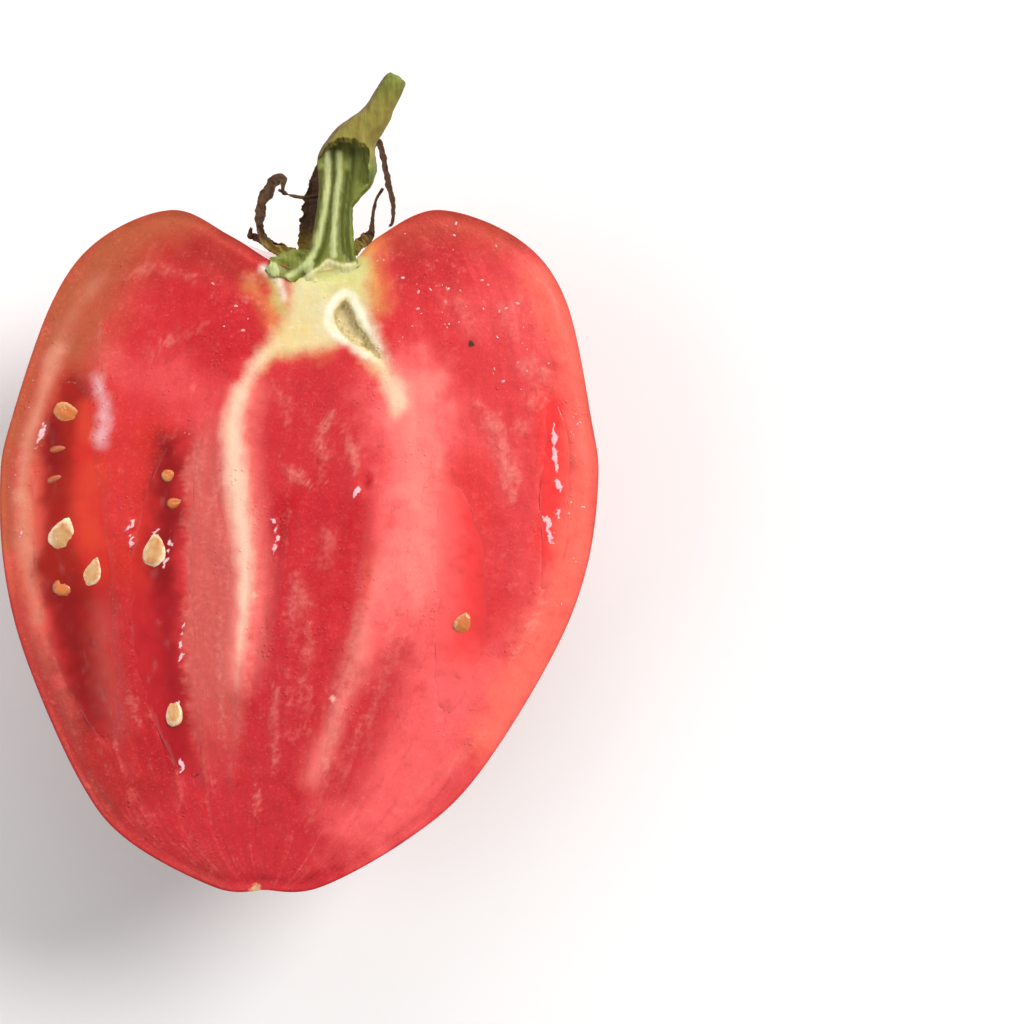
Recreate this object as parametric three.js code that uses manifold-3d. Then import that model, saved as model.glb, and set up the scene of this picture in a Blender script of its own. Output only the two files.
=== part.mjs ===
// Half an oxheart tomato, lying on its round back with the cut face up, as cut lengthwise through the
// fruit and its stalk. The fruit's flesh, core and skin are one grown piece with open seed chambers in
// the cut face. The jelly in the chambers, the seeds, the stalk and each dried sepal are pieces of
// their own. Millimetres, +Z up, +Y from the blossom end towards the stalk.
import * as THREE from "three";
import { mergeVertices } from "three/addons/utils/BufferGeometryUtils.js";
import Module from "manifold-3d";

const wasm = await Module();
wasm.setup();

// ---- Driving dimensions, in millimetres ----

const FRUIT_HALF_WIDTH = 40.2; // from the fruit's axis to its side, at the widest place
const FRUIT_LENGTH = 91.4; // from the blossom end to the top of the shoulders
const FRUIT_DEPTH = 38; // from the resting patch up to the cut face
const REST_FLATTENING = 1.4; // how far the soft back is pressed flat where it rests
const AXIS_LEAN = 7.8; // how far the stalk end stands to the right of the blossom end
const RIB_HEIGHT = 1.3; // of the shoulder ribs round the back
const SHOULDER_DIP = 5.4; // how much lower the shoulders are at the middle of the back

const CLEARANCE = 0.35; // between pieces that touch
const JELLY_RECESS = 1.1; // from the cut face down to the jelly

const STALK_NECK_RADIUS = 2.35; // of the split stalk, at its thinnest
const STALK_LENGTH = 26.5; // above the stalk hollow, along Y
const STALK_REACH = 9.2; // how far the tip stands to the right of the stalk's foot
const KNUCKLE_RADIUS = 3.85;
const TIP_RADIUS = 1.25;
const CALYX_DISC_RADIUS = 6.2;
const CALYX_DISC_HEIGHT = 2.2;

const SEPAL_THICKNESS = 0.6;
const SEED_THICKNESS = 1.3;

const PROFILE_STEPS = 30; // faces along the fruit's profile
const TURN_STEPS = 40; // faces round the whole fruit

// ---- Placing ----

// The fruit's side profile, from the blossom end over the shoulders into the stalk hollow. Each row is
// the radius on the left and on the right, as shares of FRUIT_HALF_WIDTH, and the height as a share of
// FRUIT_LENGTH.
const PROFILE = [
  [0, 0, 0],
  [0.16, 0.18, 0.003],
  [0.47, 0.46, 0.073],
  [0.65, 0.67, 0.162],
  [0.86, 0.89, 0.338],
  [0.96, 0.985, 0.47],
  [1, 1, 0.603],
  [0.98, 0.96, 0.691],
  [0.875, 0.84, 0.867],
  [0.735, 0.665, 0.957],
  [0.5, 0.39, 1],
  [0.3, 0.2, 0.962],
  [0.14, 0.11, 0.922],
  [0, 0, 0.909],
];

const axisX = (share) => AXIS_LEAN * (share - 0.5);

// A point of the cut face: across is a share of the half width from the axis, and up a share of the length.
const onFace = (across, up, z = 0) =>
  new THREE.Vector3(
    axisX(up) + across * FRUIT_HALF_WIDTH,
    up * FRUIT_LENGTH,
    z,
  );

const hollowShare = PROFILE.at(-1)[2];
const stalkFoot = onFace(0.02, hollowShare);

// A point near the stalk. right and up are shares of the stalk's own reach and length, from its foot. back
// is a share of the depth that passes just clear behind the knuckle.
const BEHIND_KNUCKLE = KNUCKLE_RADIUS + CLEARANCE + SEPAL_THICKNESS;
const byStalk = (right, up, back) =>
  new THREE.Vector3(
    stalkFoot.x + right * STALK_REACH,
    stalkFoot.y + up * STALK_LENGTH,
    -back * BEHIND_KNUCKLE,
  );

const smoothPath = (points) =>
  new THREE.CatmullRomCurve3(points, false, "centripetal");

// Reads a value between the rows [place, value] at place t, with smooth steps between them.
const between = (rows) => (t) => {
  const next = rows.findIndex(([place]) => place >= t);
  if (next <= 0) return rows[next < 0 ? rows.length - 1 : 0][1];
  const [low, high] = [rows[next - 1], rows[next]];
  const share = THREE.MathUtils.smoothstep(t, low[0], high[0]);
  return low[1] + (high[1] - low[1]) * share;
};

// ---- Solids ----

// A closed geometry, with only its positions kept, as a manifold-3d solid.
function solidOf(geometry) {
  const bare = geometry.clone();
  bare.deleteAttribute("normal");
  bare.deleteAttribute("uv");
  const merged = mergeVertices(bare, 1e-3);
  return new wasm.Manifold(
    new wasm.Mesh({
      numProp: 3,
      vertProperties: merged.attributes.position.array,
      triVerts: new Uint32Array(merged.index.array),
    }),
  );
}

function geometryOf(solid) {
  const { vertProperties, triVerts } = solid.getMesh();
  const geometry = new THREE.BufferGeometry();
  geometry.setAttribute(
    "position",
    new THREE.BufferAttribute(vertProperties, 3),
  );
  geometry.setIndex(new THREE.BufferAttribute(triVerts, 1));
  const flat = geometry.toNonIndexed();
  flat.computeVertexNormals();
  return flat;
}

function box(low, high) {
  const size = new THREE.Vector3().subVectors(high, low);
  const middle = new THREE.Vector3().addVectors(low, high).multiplyScalar(0.5);
  return solidOf(
    new THREE.BoxGeometry(size.x, size.y, size.z).translate(
      middle.x,
      middle.y,
      middle.z,
    ),
  );
}

const FAR = 2 * (FRUIT_LENGTH + STALK_LENGTH);

// Everything above the plane z, or of that only what is below top in Y and left of side.
function spaceAbove(z, top = FAR, side = FAR) {
  return box(
    new THREE.Vector3(-FAR, -FAR, z),
    new THREE.Vector3(side, top, z + FAR),
  );
}

// A closed body along a path. halfWidth and halfDepth give its oval section at each share of the path:
// the width lies in the cut plane, or turned out of it by twist.
function sweptBody(
  path,
  halfWidth,
  halfDepth,
  { sides = 10, steps = 12, twist = 0 } = {},
) {
  const geometry = new THREE.CylinderGeometry(1, 1, 1, sides, steps);
  const position = geometry.attributes.position;
  const up = new THREE.Vector3(0, 0, 1);
  for (let i = 0; i < position.count; i++) {
    const t = THREE.MathUtils.clamp(position.getY(i) + 0.5, 0, 1);
    const along = path.getTangentAt(t);
    const across = new THREE.Vector3()
      .crossVectors(along, up)
      .normalize()
      .applyAxisAngle(along, twist);
    const out = new THREE.Vector3().crossVectors(across, along);
    const place = path
      .getPointAt(t)
      .addScaledVector(across, position.getX(i) * halfWidth(t))
      .addScaledVector(out, position.getZ(i) * halfDepth(t));
    position.setXYZ(i, place.x, place.y, place.z);
  }
  return solidOf(geometry);
}

const ROUND_DEPTH = (FRUIT_DEPTH + REST_FLATTENING) / FRUIT_HALF_WIDTH;

// The profile's left and right curves, point for point.
const [PROFILE_LEFT, PROFILE_RIGHT] = [0, 1].map((side) =>
  new THREE.SplineCurve(
    PROFILE.map(
      (row) =>
        new THREE.Vector2(row[side] * FRUIT_HALF_WIDTH, row[2] * FRUIT_LENGTH),
    ),
  ).getPoints(PROFILE_STEPS),
);

// The profile's point at a row, on the side that toRight says: 0 on the left and 1 on the right. behind
// is 0 at the cut and 1 at the middle of the back, where the shoulders dip.
function profilePoint(row, toRight, behind) {
  const point = new THREE.Vector2().lerpVectors(
    PROFILE_LEFT[row],
    PROFILE_RIGHT[row],
    toRight,
  );
  if (row === 0 || row === PROFILE_STEPS) point.x = 0;
  const shoulder = (1 - hollowShare) * FRUIT_LENGTH;
  const over = Math.max(0, point.y - hollowShare * FRUIT_LENGTH);
  point.y -= SHOULDER_DIP * behind * (over / shoulder);
  return point;
}

// The height of the stalk hollow's wall at a place, from its middle out to the top of the shoulders.
function hollowHeight(x, z) {
  const out = x - axisX(1);
  const radius = Math.hypot(out, z / ROUND_DEPTH);
  const sine = out / Math.max(radius, CLEARANCE);
  const wall = (row) => profilePoint(row, (1 + sine) / 2, 1 - sine ** 2);
  let row = PROFILE_STEPS;
  let [inner, outer] = [wall(row), wall(row - 1)];
  while (outer.x < radius && outer.y > inner.y) {
    row -= 1;
    [inner, outer] = [outer, wall(row - 1)];
  }
  const share = THREE.MathUtils.inverseLerp(inner.x, outer.x, radius);
  return inner.y + (outer.y - inner.y) * THREE.MathUtils.clamp(share, 0, 1);
}

// The whole uncut fruit: a turned profile whose left and right differ, with ribs over the shoulders that
// fade out at the cut.
function wholeFruit() {
  const geometry = new THREE.LatheGeometry(PROFILE_LEFT, TURN_STEPS);
  const position = geometry.attributes.position;
  const rows = PROFILE_STEPS + 1;
  for (let i = 0; i < position.count; i++) {
    const angle = (2 * Math.PI * Math.floor(i / rows)) / TURN_STEPS;
    const toRight = (1 + Math.sin(angle)) / 2;
    const point = profilePoint(i % rows, toRight, Math.cos(angle) ** 2);
    const share = point.y / FRUIT_LENGTH;
    const rib =
      RIB_HEIGHT *
      share ** 2 *
      (point.x / FRUIT_HALF_WIDTH) *
      (Math.sin(3 * (angle + Math.PI / 2)) ** 2 - 0.5) *
      Math.cos(angle) ** 2;
    const radius = point.x + rib;
    position.setXYZ(
      i,
      axisX(share) + radius * Math.sin(angle),
      point.y,
      radius * Math.cos(angle) * ROUND_DEPTH,
    );
  }
  return solidOf(geometry);
}

// ---- Seed chambers and their jelly ----

// Each chamber is a spindle sunk in the cut face: where it runs, its half width and depth, and whether
// jelly fills it.
const CHAMBERS = {
  outer_left: {
    run: [
      [-0.785, 0.765],
      [-0.785, 0.617],
      [-0.74, 0.485],
      [-0.68, 0.36],
      [-0.55, 0.21],
    ],
    halfWidth: 4.4,
    depth: 5.5,
    jelly: true,
  },
  inner_left: {
    run: [
      [-0.39, 0.69],
      [-0.43, 0.573],
      [-0.435, 0.456],
      [-0.38, 0.309],
      [-0.26, 0.15],
    ],
    halfWidth: 3.8,
    depth: 6,
    jelly: true,
  },
  inner_right: {
    run: [
      [0.5, 0.61],
      [0.56, 0.485],
      [0.585, 0.382],
      [0.55, 0.25],
    ],
    halfWidth: 3.2,
    depth: 4.5,
    jelly: true,
  },
  outer_right: {
    run: [
      [0.805, 0.735],
      [0.85, 0.661],
      [0.857, 0.573],
      [0.87, 0.5],
      [0.84, 0.43],
    ],
    halfWidth: 1.7,
    depth: 4.5,
    jelly: true,
  },
  core_groove_left: {
    run: [
      [-0.035, 0.57],
      [-0.068, 0.47],
      [-0.095, 0.367],
      [-0.1, 0.28],
    ],
    halfWidth: 1.5,
    depth: 3.5,
  },
  core_groove_right: {
    run: [
      [0.3, 0.62],
      [0.271, 0.514],
      [0.209, 0.382],
      [0.156, 0.279],
      [0.11, 0.169],
    ],
    halfWidth: 1.4,
    depth: 3.5,
  },
  core_split: {
    run: [
      [0.096, 0.858],
      [0.114, 0.83],
      [0.163, 0.804],
      [0.228, 0.779],
      [0.277, 0.764],
    ],
    halfWidth: 0.95,
    depth: 3,
  },
};

const SPINDLE_END = 0.06; // the least share of its width that a spindle ends in
const spindle = (t) => Math.max(SPINDLE_END, Math.sin(Math.PI * t) ** 0.6);

function chamberSolid({ run, halfWidth, depth }, gap = 0) {
  const path = smoothPath(run.map(([across, up]) => onFace(across, up)));
  const least = 0.1;
  return sweptBody(
    path,
    (t) => Math.max(least, halfWidth * spindle(t) - gap),
    (t) => Math.max(least, depth * spindle(t) - gap),
    { steps: 14 },
  );
}

// ---- Seeds ----

// Where each seed lies, how it is turned in the cut plane, its length, width and how deep its middle is.
// An edge-on seed lies on its side.
const SEEDS = [
  { across: -0.792, up: 0.701, turn: -18, length: 4, width: 2.5, sink: 1.0 },
  {
    across: -0.806,
    up: 0.647,
    turn: 8,
    length: 4,
    width: 2.6,
    sink: 2.3,
    edgeOn: true,
  },
  {
    across: -0.81,
    up: 0.604,
    turn: 24,
    length: 3.8,
    width: 2.6,
    sink: 2.3,
    edgeOn: true,
  },
  { across: -0.775, up: 0.522, turn: 62, length: 4.7, width: 3.3, sink: 1.0 },
  { across: -0.664, up: 0.467, turn: 64, length: 4, width: 2.2, sink: 1.0 },
  { across: -0.76, up: 0.449, turn: 80, length: 3.4, width: 2.8, sink: 1.8 },
  { across: -0.463, up: 0.5, turn: 78, length: 4.7, width: 3, sink: 1.0 },
  { across: -0.351, up: 0.262, turn: 88, length: 4, width: 2.1, sink: 1.0 },
  { across: 0.591, up: 0.394, turn: 55, length: 3.2, width: 2.2, sink: 1.0 },
  {
    across: 0.862,
    up: 0.532,
    turn: 80,
    length: 3.4,
    width: 1.9,
    sink: 1.6,
    edgeOn: true,
  },
  { across: -0.437, up: 0.61, turn: 20, length: 1.9, width: 1.5, sink: 0.9 },
  { across: -0.41, up: 0.569, turn: 10, length: 2.3, width: 1.4, sink: 0.9 },
];

const SEED_POINT = 0.35; // how much narrower a seed is at its pointed end

function seedSolid(seed, gap = 0) {
  const geometry = new THREE.SphereGeometry(1, 10, 6);
  const position = geometry.attributes.position;
  for (let i = 0; i < position.count; i++) {
    const taper = 1 - SEED_POINT * position.getX(i);
    position.setXYZ(
      i,
      position.getX(i) * (seed.length / 2 + gap),
      position.getY(i) * taper * (seed.width / 2 + gap),
      position.getZ(i) * taper * (SEED_THICKNESS / 2 + gap),
    );
  }
  if (seed.edgeOn) geometry.rotateX(Math.PI / 2);
  geometry.rotateZ(THREE.MathUtils.degToRad(seed.turn));
  const place = onFace(seed.across, seed.up, -seed.sink);
  geometry.translate(place.x, place.y, place.z);
  return solidOf(geometry);
}

// ---- Stalk and sepals ----

// The knife split the stalk as far as SPLIT_TOP, and from SPLIT_NARROWS on only left of SPLIT_SIDE, as
// shares of STALK_LENGTH and STALK_REACH.
const SPLIT_NARROWS = 0.42;
const SPLIT_TOP = 0.634;
const SPLIT_SIDE = 0.56;

function calyxDisc(gap) {
  const geometry = new THREE.SphereGeometry(1, 18, 10).scale(
    CALYX_DISC_RADIUS + gap,
    CALYX_DISC_HEIGHT + gap,
    CALYX_DISC_RADIUS + gap,
  );
  const middle = byStalk(-0.12, 0.03, 0);
  return solidOf(geometry.translate(middle.x, middle.y, middle.z));
}

// The stalk before it is split, with its disc. gap makes it bigger all round, for what it sits in.
function wholeStalk(gap = 0) {
  const foot = byStalk(0.1, 0, 0.12);
  const path = smoothPath([
    foot.clone().setY(foot.y - gap),
    byStalk(0.14, 0.19, 0.1),
    byStalk(0.18, 0.35, 0.08),
    byStalk(0.31, 0.487, 0.04),
    byStalk(0.375, 0.58, 0),
    byStalk(0.5, 0.68, -0.06),
    byStalk(0.76, 0.78, -0.16),
    byStalk(0.94, 0.89, -0.25),
    byStalk(1.1, 0.98, -0.3),
  ]);
  const radius = between([
    [0, STALK_NECK_RADIUS * 1.5],
    [0.28, STALK_NECK_RADIUS],
    [0.36, STALK_NECK_RADIUS * 1.1],
    [0.48, KNUCKLE_RADIUS],
    [0.58, KNUCKLE_RADIUS * 0.95],
    [0.7, TIP_RADIUS * 1.9],
    [0.85, TIP_RADIUS * 1.35],
    [1, TIP_RADIUS],
  ]);
  const grown = (t) => radius(t) + gap;
  const rod = sweptBody(path, grown, grown, { sides: 12, steps: 20 });
  return rod.add(calyxDisc(gap));
}

function stalkSolid() {
  const [narrows, top] = [SPLIT_NARROWS, SPLIT_TOP].map(
    (share) => byStalk(0, share, 0).y,
  );
  const side = byStalk(SPLIT_SIDE, 0, 0).x;
  return wholeStalk()
    .subtract(spaceAbove(0, narrows))
    .subtract(spaceAbove(0, top, side));
}

// Each sepal's run in byStalk shares, its half width along the run, and its twist out of the cut plane.
// The first point is the root, and its depth is a share of the disc's radius instead.
const SEPALS = {
  sepal_hooked: {
    run: [
      [-0.46, 0.05, 0.2],
      [-0.72, 0.1, 0.24],
      [-0.88, 0.18, 0.24],
      [-0.93, 0.28, 0.22],
      [-0.88, 0.36, 0.24],
      [-0.775, 0.43, 0.26],
      [-0.67, 0.475, 0.24],
      [-0.6, 0.47, 0.2],
      [-0.6, 0.41, 0.15],
    ],
    halfWidth: [
      [0, 0.85],
      [0.35, 0.55],
      [0.65, 0.85],
      [0.85, 0.7],
      [1, 0.15],
    ],
    twist: 0.3,
  },
  sepal_stub: {
    run: [
      [-0.45, 0.05, 0.5],
      [-0.74, 0.08, 0.66],
      [-0.93, 0.105, 0.66],
      [-1.04, 0.145, 0.6],
      [-1.09, 0.188, 0.5],
      [-1.07, 0.23, 0.4],
    ],
    halfWidth: [
      [0, 0.9],
      [0.5, 0.7],
      [1, 0.2],
    ],
    twist: 0.2,
  },
  sepal_broad: {
    run: [
      [-0.3, 0.06, 0.697],
      [-0.25, 0.2, 1],
      [-0.2, 0.335, 1.02],
      [-0.16, 0.45, 1.08],
      [-0.1, 0.57, 1.12],
    ],
    halfWidth: [
      [0, 1],
      [0.4, 1.35],
      [0.8, 1],
      [1, 0.3],
    ],
    twist: 0.2,
  },
  sepal_long: {
    run: [
      [0.17, 0.06, 0.774],
      [0.28, 0.284, 1.1],
      [0.4, 0.46, 1.15],
      [0.6, 0.62, 1.1],
      [0.75, 0.68, 0.95],
      [0.83, 0.64, 0.8],
      [0.895, 0.53, 0.62],
      [0.965, 0.43, 0.5],
      [1.02, 0.335, 0.44],
      [1, 0.26, 0.4],
      [0.96, 0.22, 0.36],
    ],
    halfWidth: [
      [0, 1],
      [0.3, 0.9],
      [0.6, 0.5],
      [0.9, 0.35],
      [1, 0.15],
    ],
    twist: 0.2,
  },
  sepal_small: {
    run: [
      [0.42, 0.08, 0.31],
      [0.57, 0.16, 0.42],
      [0.69, 0.2, 0.38],
      [0.716, 0.284, 0.31],
      [0.775, 0.376, 0.27],
      [0.86, 0.421, 0.23],
    ],
    halfWidth: [
      [0, 0.9],
      [0.3, 0.75],
      [0.5, 0.3],
      [1, 0.18],
    ],
    twist: 0.1,
  },
};

// A sepal lies on the wall of the stalk hollow and never in it, and its root meets the stalk's disc.
function sepalSolid({ run, halfWidth, twist }, stalkSpace) {
  const width = between(halfWidth);
  const points = run.map((shares, i) => {
    const point = byStalk(...shares);
    if (i === 0) point.setZ(-shares[2] * CALYX_DISC_RADIUS);
    const lift = width(i / (run.length - 1)) + SEPAL_THICKNESS + CLEARANCE;
    return point.setY(Math.max(point.y, hollowHeight(point.x, point.z) + lift));
  });
  const sepal = sweptBody(
    smoothPath(points),
    width,
    () => SEPAL_THICKNESS / 2,
    { sides: 6, steps: 16, twist },
  );
  return sepal.subtract(stalkSpace);
}

// ---- Assembly ----

const MATERIALS = {
  flesh: new THREE.MeshStandardMaterial({ color: 0xd93a38, roughness: 0.35 }),
  jelly: new THREE.MeshStandardMaterial({ color: 0xc4241c, roughness: 0.15 }),
  seed: new THREE.MeshStandardMaterial({ color: 0xe0c08c, roughness: 0.45 }),
  stalk: new THREE.MeshStandardMaterial({ color: 0x8d9a4a, roughness: 0.7 }),
  sepal: new THREE.MeshStandardMaterial({ color: 0x4a372c, roughness: 0.85 }),
};

const tomato = new THREE.Group();

function place(name, solid, material) {
  const mesh = new THREE.Mesh(geometryOf(solid), MATERIALS[material]);
  mesh.name = name;
  tomato.add(mesh);
  return mesh;
}

const seedNames = SEEDS.map(
  (_, i) => "seed_" + String(i + 1).padStart(2, "0"),
);
const seedSpaces = SEEDS.map((seed) => seedSolid(seed, CLEARANCE));

const stalk = stalkSolid();
const stalkSpace = wholeStalk(CLEARANCE);

let fruit = wholeFruit().subtract(spaceAbove(0));
fruit = fruit.subtract(
  box(
    new THREE.Vector3(-FAR, -FAR, -FAR),
    new THREE.Vector3(FAR, FAR, -FRUIT_DEPTH),
  ),
);
for (const chamber of Object.values(CHAMBERS))
  fruit = fruit.subtract(chamberSolid(chamber));
for (const space of [...seedSpaces, stalkSpace]) fruit = fruit.subtract(space);
place("fruit_half", fruit, "flesh");

for (const [name, chamber] of Object.entries(CHAMBERS)) {
  if (!chamber.jelly) continue;
  let jelly = chamberSolid(chamber, CLEARANCE).subtract(
    spaceAbove(-JELLY_RECESS),
  );
  for (const space of seedSpaces) jelly = jelly.subtract(space);
  place("jelly_" + name, jelly, "jelly");
}

SEEDS.forEach((seed, i) => place(seedNames[i], seedSolid(seed), "seed"));
place("stalk", stalk, "stalk");
for (const [name, sepal] of Object.entries(SEPALS))
  place(name, sepalSolid(sepal, stalkSpace), "sepal");

// The middle of the resting side of the whole object's box becomes the origin.
const bounds = new THREE.Box3().setFromObject(tomato);
const middle = bounds.getCenter(new THREE.Vector3());
tomato.position.set(-middle.x, -middle.y, -bounds.min.z);

export default tomato;
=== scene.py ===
"""Looks for half an oxheart tomato, lying on its round back with the cut face up.

It models the flesh and skin, the jelly in the seed chambers, the seeds, the split stalk, the dried
sepals and the small wet details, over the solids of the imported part.
"""

import math
from types import SimpleNamespace

import bmesh
import bpy
import numpy as np
from bpy.props import FloatProperty, FloatVectorProperty, IntProperty, PointerProperty
from mathutils import Matrix, Vector, noise


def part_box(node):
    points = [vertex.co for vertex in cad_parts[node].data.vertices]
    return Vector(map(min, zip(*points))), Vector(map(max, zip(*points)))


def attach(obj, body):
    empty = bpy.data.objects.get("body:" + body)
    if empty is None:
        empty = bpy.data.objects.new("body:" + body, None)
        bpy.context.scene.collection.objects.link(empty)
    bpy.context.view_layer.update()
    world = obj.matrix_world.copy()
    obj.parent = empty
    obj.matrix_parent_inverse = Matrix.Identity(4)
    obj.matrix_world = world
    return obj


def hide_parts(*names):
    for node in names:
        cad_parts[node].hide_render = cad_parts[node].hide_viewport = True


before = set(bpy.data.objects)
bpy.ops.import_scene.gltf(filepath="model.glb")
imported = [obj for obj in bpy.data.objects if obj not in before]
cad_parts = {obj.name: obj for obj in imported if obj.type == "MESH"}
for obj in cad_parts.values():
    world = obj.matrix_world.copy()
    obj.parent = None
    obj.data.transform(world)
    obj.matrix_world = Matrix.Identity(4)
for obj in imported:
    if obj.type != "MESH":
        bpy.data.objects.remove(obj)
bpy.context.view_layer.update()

bl_info = {
    "name": "Tomato Half",
    "version": (1, 0, 0),
    "blender": (4, 5, 0),
    "location": "3D View > Sidebar > Tomato",
    "description": "Models the looks of half an oxheart tomato over its solids",
    "category": "Object",
}

MM = 0.001
FRUIT_LOW, FRUIT_HIGH = (np.array(corner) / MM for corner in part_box("fruit_half"))
CUT = FRUIT_HIGH[2]  # height of the cut face, in millimetres

# ---- Sizes and colours ----


def length(name, about, default, low=0.0):
    return FloatProperty(
        name=name,
        description=about,
        default=default * MM,
        min=low * MM,
        unit="LENGTH",
        precision=5,
    )


def share(name, about, default):
    return FloatProperty(
        name=name,
        description=about,
        default=default,
        min=0.0,
        max=2.0,
        subtype="FACTOR",
    )


def colour(name, about, *default):
    """A colour given as it shows on a screen, from 0 to 255."""
    linear = [
        (c / 255 / 12.92) if c <= 10 else ((c / 255 + 0.055) / 1.055) ** 2.4
        for c in default
    ]
    return FloatVectorProperty(
        name=name,
        description=about,
        default=linear,
        size=3,
        min=0.0,
        max=1.0,
        subtype="COLOR",
    )


class TomatoSizes(bpy.types.PropertyGroup):
    half_width: length("Half width", "From the fruit's axis to its side", 40.2)
    fruit_length: length("Length", "From the blossom end to the shoulders", 91.4)
    round_depth: length("Round depth", "From the cut face to the uncut back", 39.4)
    lean: length("Lean", "How far the stalk end stands to the right", 7.8)
    rib_height: length("Rib height", "Of the shoulder ribs round the back", 1.3)
    shoulder_dip: length("Shoulder dip", "How much lower the back's shoulders are", 5.4)
    jelly_recess: length("Jelly recess", "From the cut face down to the jelly", 0.2)
    fibre_relief: length("Fibre relief", "How far fibres stand out of the cut", 0.1)
    seed_thickness: length("Seed thickness", "Of a seed lying flat", 1.35)
    neck_radius: length("Stalk neck radius", "Of the stalk at its thinnest", 2.35)
    knuckle_radius: length("Knuckle radius", "Of the stalk at its joint", 3.85)
    tip_radius: length("Stalk tip radius", "Of the stalk at its broken end", 1.25)
    disc_radius: length("Disc radius", "Of the disc that the stalk stands on", 6.2)
    stalk_length: length("Stalk length", "Above the hollow it grows from", 26.5)
    stalk_reach: length("Stalk reach", "How far its tip stands to the right", 9.2)
    sepal_thickness: length("Sepal thickness", "Of a dried sepal", 0.4)
    face_steps: IntProperty(
        name="Face steps",
        description="Faces across the cut face and across the back",
        default=218,
        min=20,
        max=218,
    )
    wetness: share("Wetness", "How much clear juice lies on the cut face", 0.7)


class TomatoColours(bpy.types.PropertyGroup):
    flesh: colour("Flesh", "Of the solid flesh", 216, 52, 57)
    flesh_pale: colour("Pale flesh", "Where the flesh is pinkest", 246, 99, 98)
    blush: colour("Blush", "Of the palest walls between the lobes", 255, 136, 126)
    rose: colour("Rose", "Of the flesh towards the blossom end", 194, 38, 48)
    crimson: colour("Crimson", "Where the flesh is ripest", 196, 28, 40)
    ruby: colour("Ruby", "In the grooves beside the core", 186, 16, 30)
    scarlet: colour("Scarlet", "Where light comes through the jelly", 246, 52, 50)
    shoulder: colour("Shoulder flesh", "Under the unripe shoulder", 180, 90, 56)
    russet: colour("Russet", "Between shoulder and ripe flesh", 196, 80, 60)
    # Wall is laid mostly on the lit right side as painted light; Dark wall is the same wall in
    # painted shade.
    wall: colour("Wall", "Of the outer wall, where it is riper", 252, 112, 96)
    wall_dark: colour("Dark wall", "Of the outer wall in the shade", 172, 52, 44)
    wall_line: colour("Wall line", "Of the pale line in the wall", 224, 146, 120)
    brick: colour("Brick", "Of the low flesh on the shaded side", 176, 36, 36)
    chamber: colour("Chamber", "Of the seed chambers' walls", 156, 28, 18)
    chamber_deep: colour("Deep chamber", "Where they are deepest", 132, 8, 14)
    amber: colour("Amber", "Where light glows through jelly", 222, 70, 46)
    ember: colour("Ember", "Of the translucent lobes", 206, 44, 32)
    columella: colour("Columella", "Of the pink middle strip", 204, 94, 86)
    columella_pale: colour("Pale columella", "Of its pale fibres", 232, 140, 126)
    cream: colour("Cream fibre", "Of the pale strand from the core", 246, 204, 178)
    apricot: colour("Apricot", "Of the soft glow beside the stalk", 232, 146, 84)
    core: colour("Core", "Of the hard pale core", 228, 216, 172)
    core_warm: colour("Warm core", "Of the core's softer edge", 236, 206, 142)
    core_white: colour("White core", "Of its palest fibres", 250, 246, 226)
    core_green: colour("Green core", "Of the core beside the stalk", 206, 208, 124)
    core_hollow: colour("Hollow", "Of the light inside of the split core", 212, 190, 136)
    core_olive: colour("Core split", "Inside the split core", 150, 120, 58)
    # Glint is the colour of painted highlights on the wet cut, its chips of light and the juice
    # beads.
    glint: colour("Glint", "Of wet folds in the light", 248, 206, 212)
    skin: colour("Skin", "Of the ripe skin", 166, 10, 16)
    skin_blush: colour("Skin blush", "Of the pinker bloom on the skin", 184, 34, 42)
    seed: colour("Seed", "Of a seed's coat", 214, 166, 108)
    seed_pale: colour("Pale seed", "Of a seed's pale edge", 250, 228, 190)
    seed_amber: colour("Jelly seed", "Of a seed under jelly", 206, 112, 44)
    stalk: colour("Stalk", "Of the stalk's rind", 136, 154, 68)
    stalk_split: colour("Split stalk", "Of the stalk's cut inside", 130, 136, 56)
    stalk_pale: colour("Pale strand", "Of the stalk's woody strands", 190, 198, 134)
    stalk_dark: colour("Dark stalk", "Of the stalk's darkest green", 78, 84, 12)
    sepal: colour("Sepal", "Of a dried sepal", 104, 74, 50)
    sepal_root: colour("Sepal root", "Where a sepal is still green", 158, 132, 58)
    floor: colour("Floor", "Of the plain floor", 250, 250, 250)


def sizes():
    return bpy.context.scene.tomato_sizes


def colours():
    return bpy.context.scene.tomato_colours


# ---- The fruit's form ----

# The fruit's side profile, from the blossom end over the shoulders into the stalk hollow: the
# radius on the left and on the right as shares of the half width, and the height as a share of the
# length.
PROFILE = [
    (0, 0, 0),
    (0.16, 0.18, 0.003),
    (0.47, 0.46, 0.073),
    (0.65, 0.67, 0.162),
    (0.86, 0.89, 0.338),
    (0.96, 0.985, 0.47),
    (1, 1, 0.603),
    (0.98, 0.96, 0.691),
    (0.875, 0.84, 0.867),
    (0.735, 0.665, 0.957),
    (0.5, 0.39, 1),
    (0.3, 0.2, 0.962),
    (0.14, 0.11, 0.922),
    (0, 0, 0.909),
]
HEART = 0.45  # where the fruit's middle lies, as a share of its length
HOLLOW = PROFILE[-1][2]
WIDEST = 0.103  # how far above mid length the fruit is widest, as a share of its length
STALK_FOOT = 0.02  # how far right of the axis the stalk grows, as a share of the half width


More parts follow.
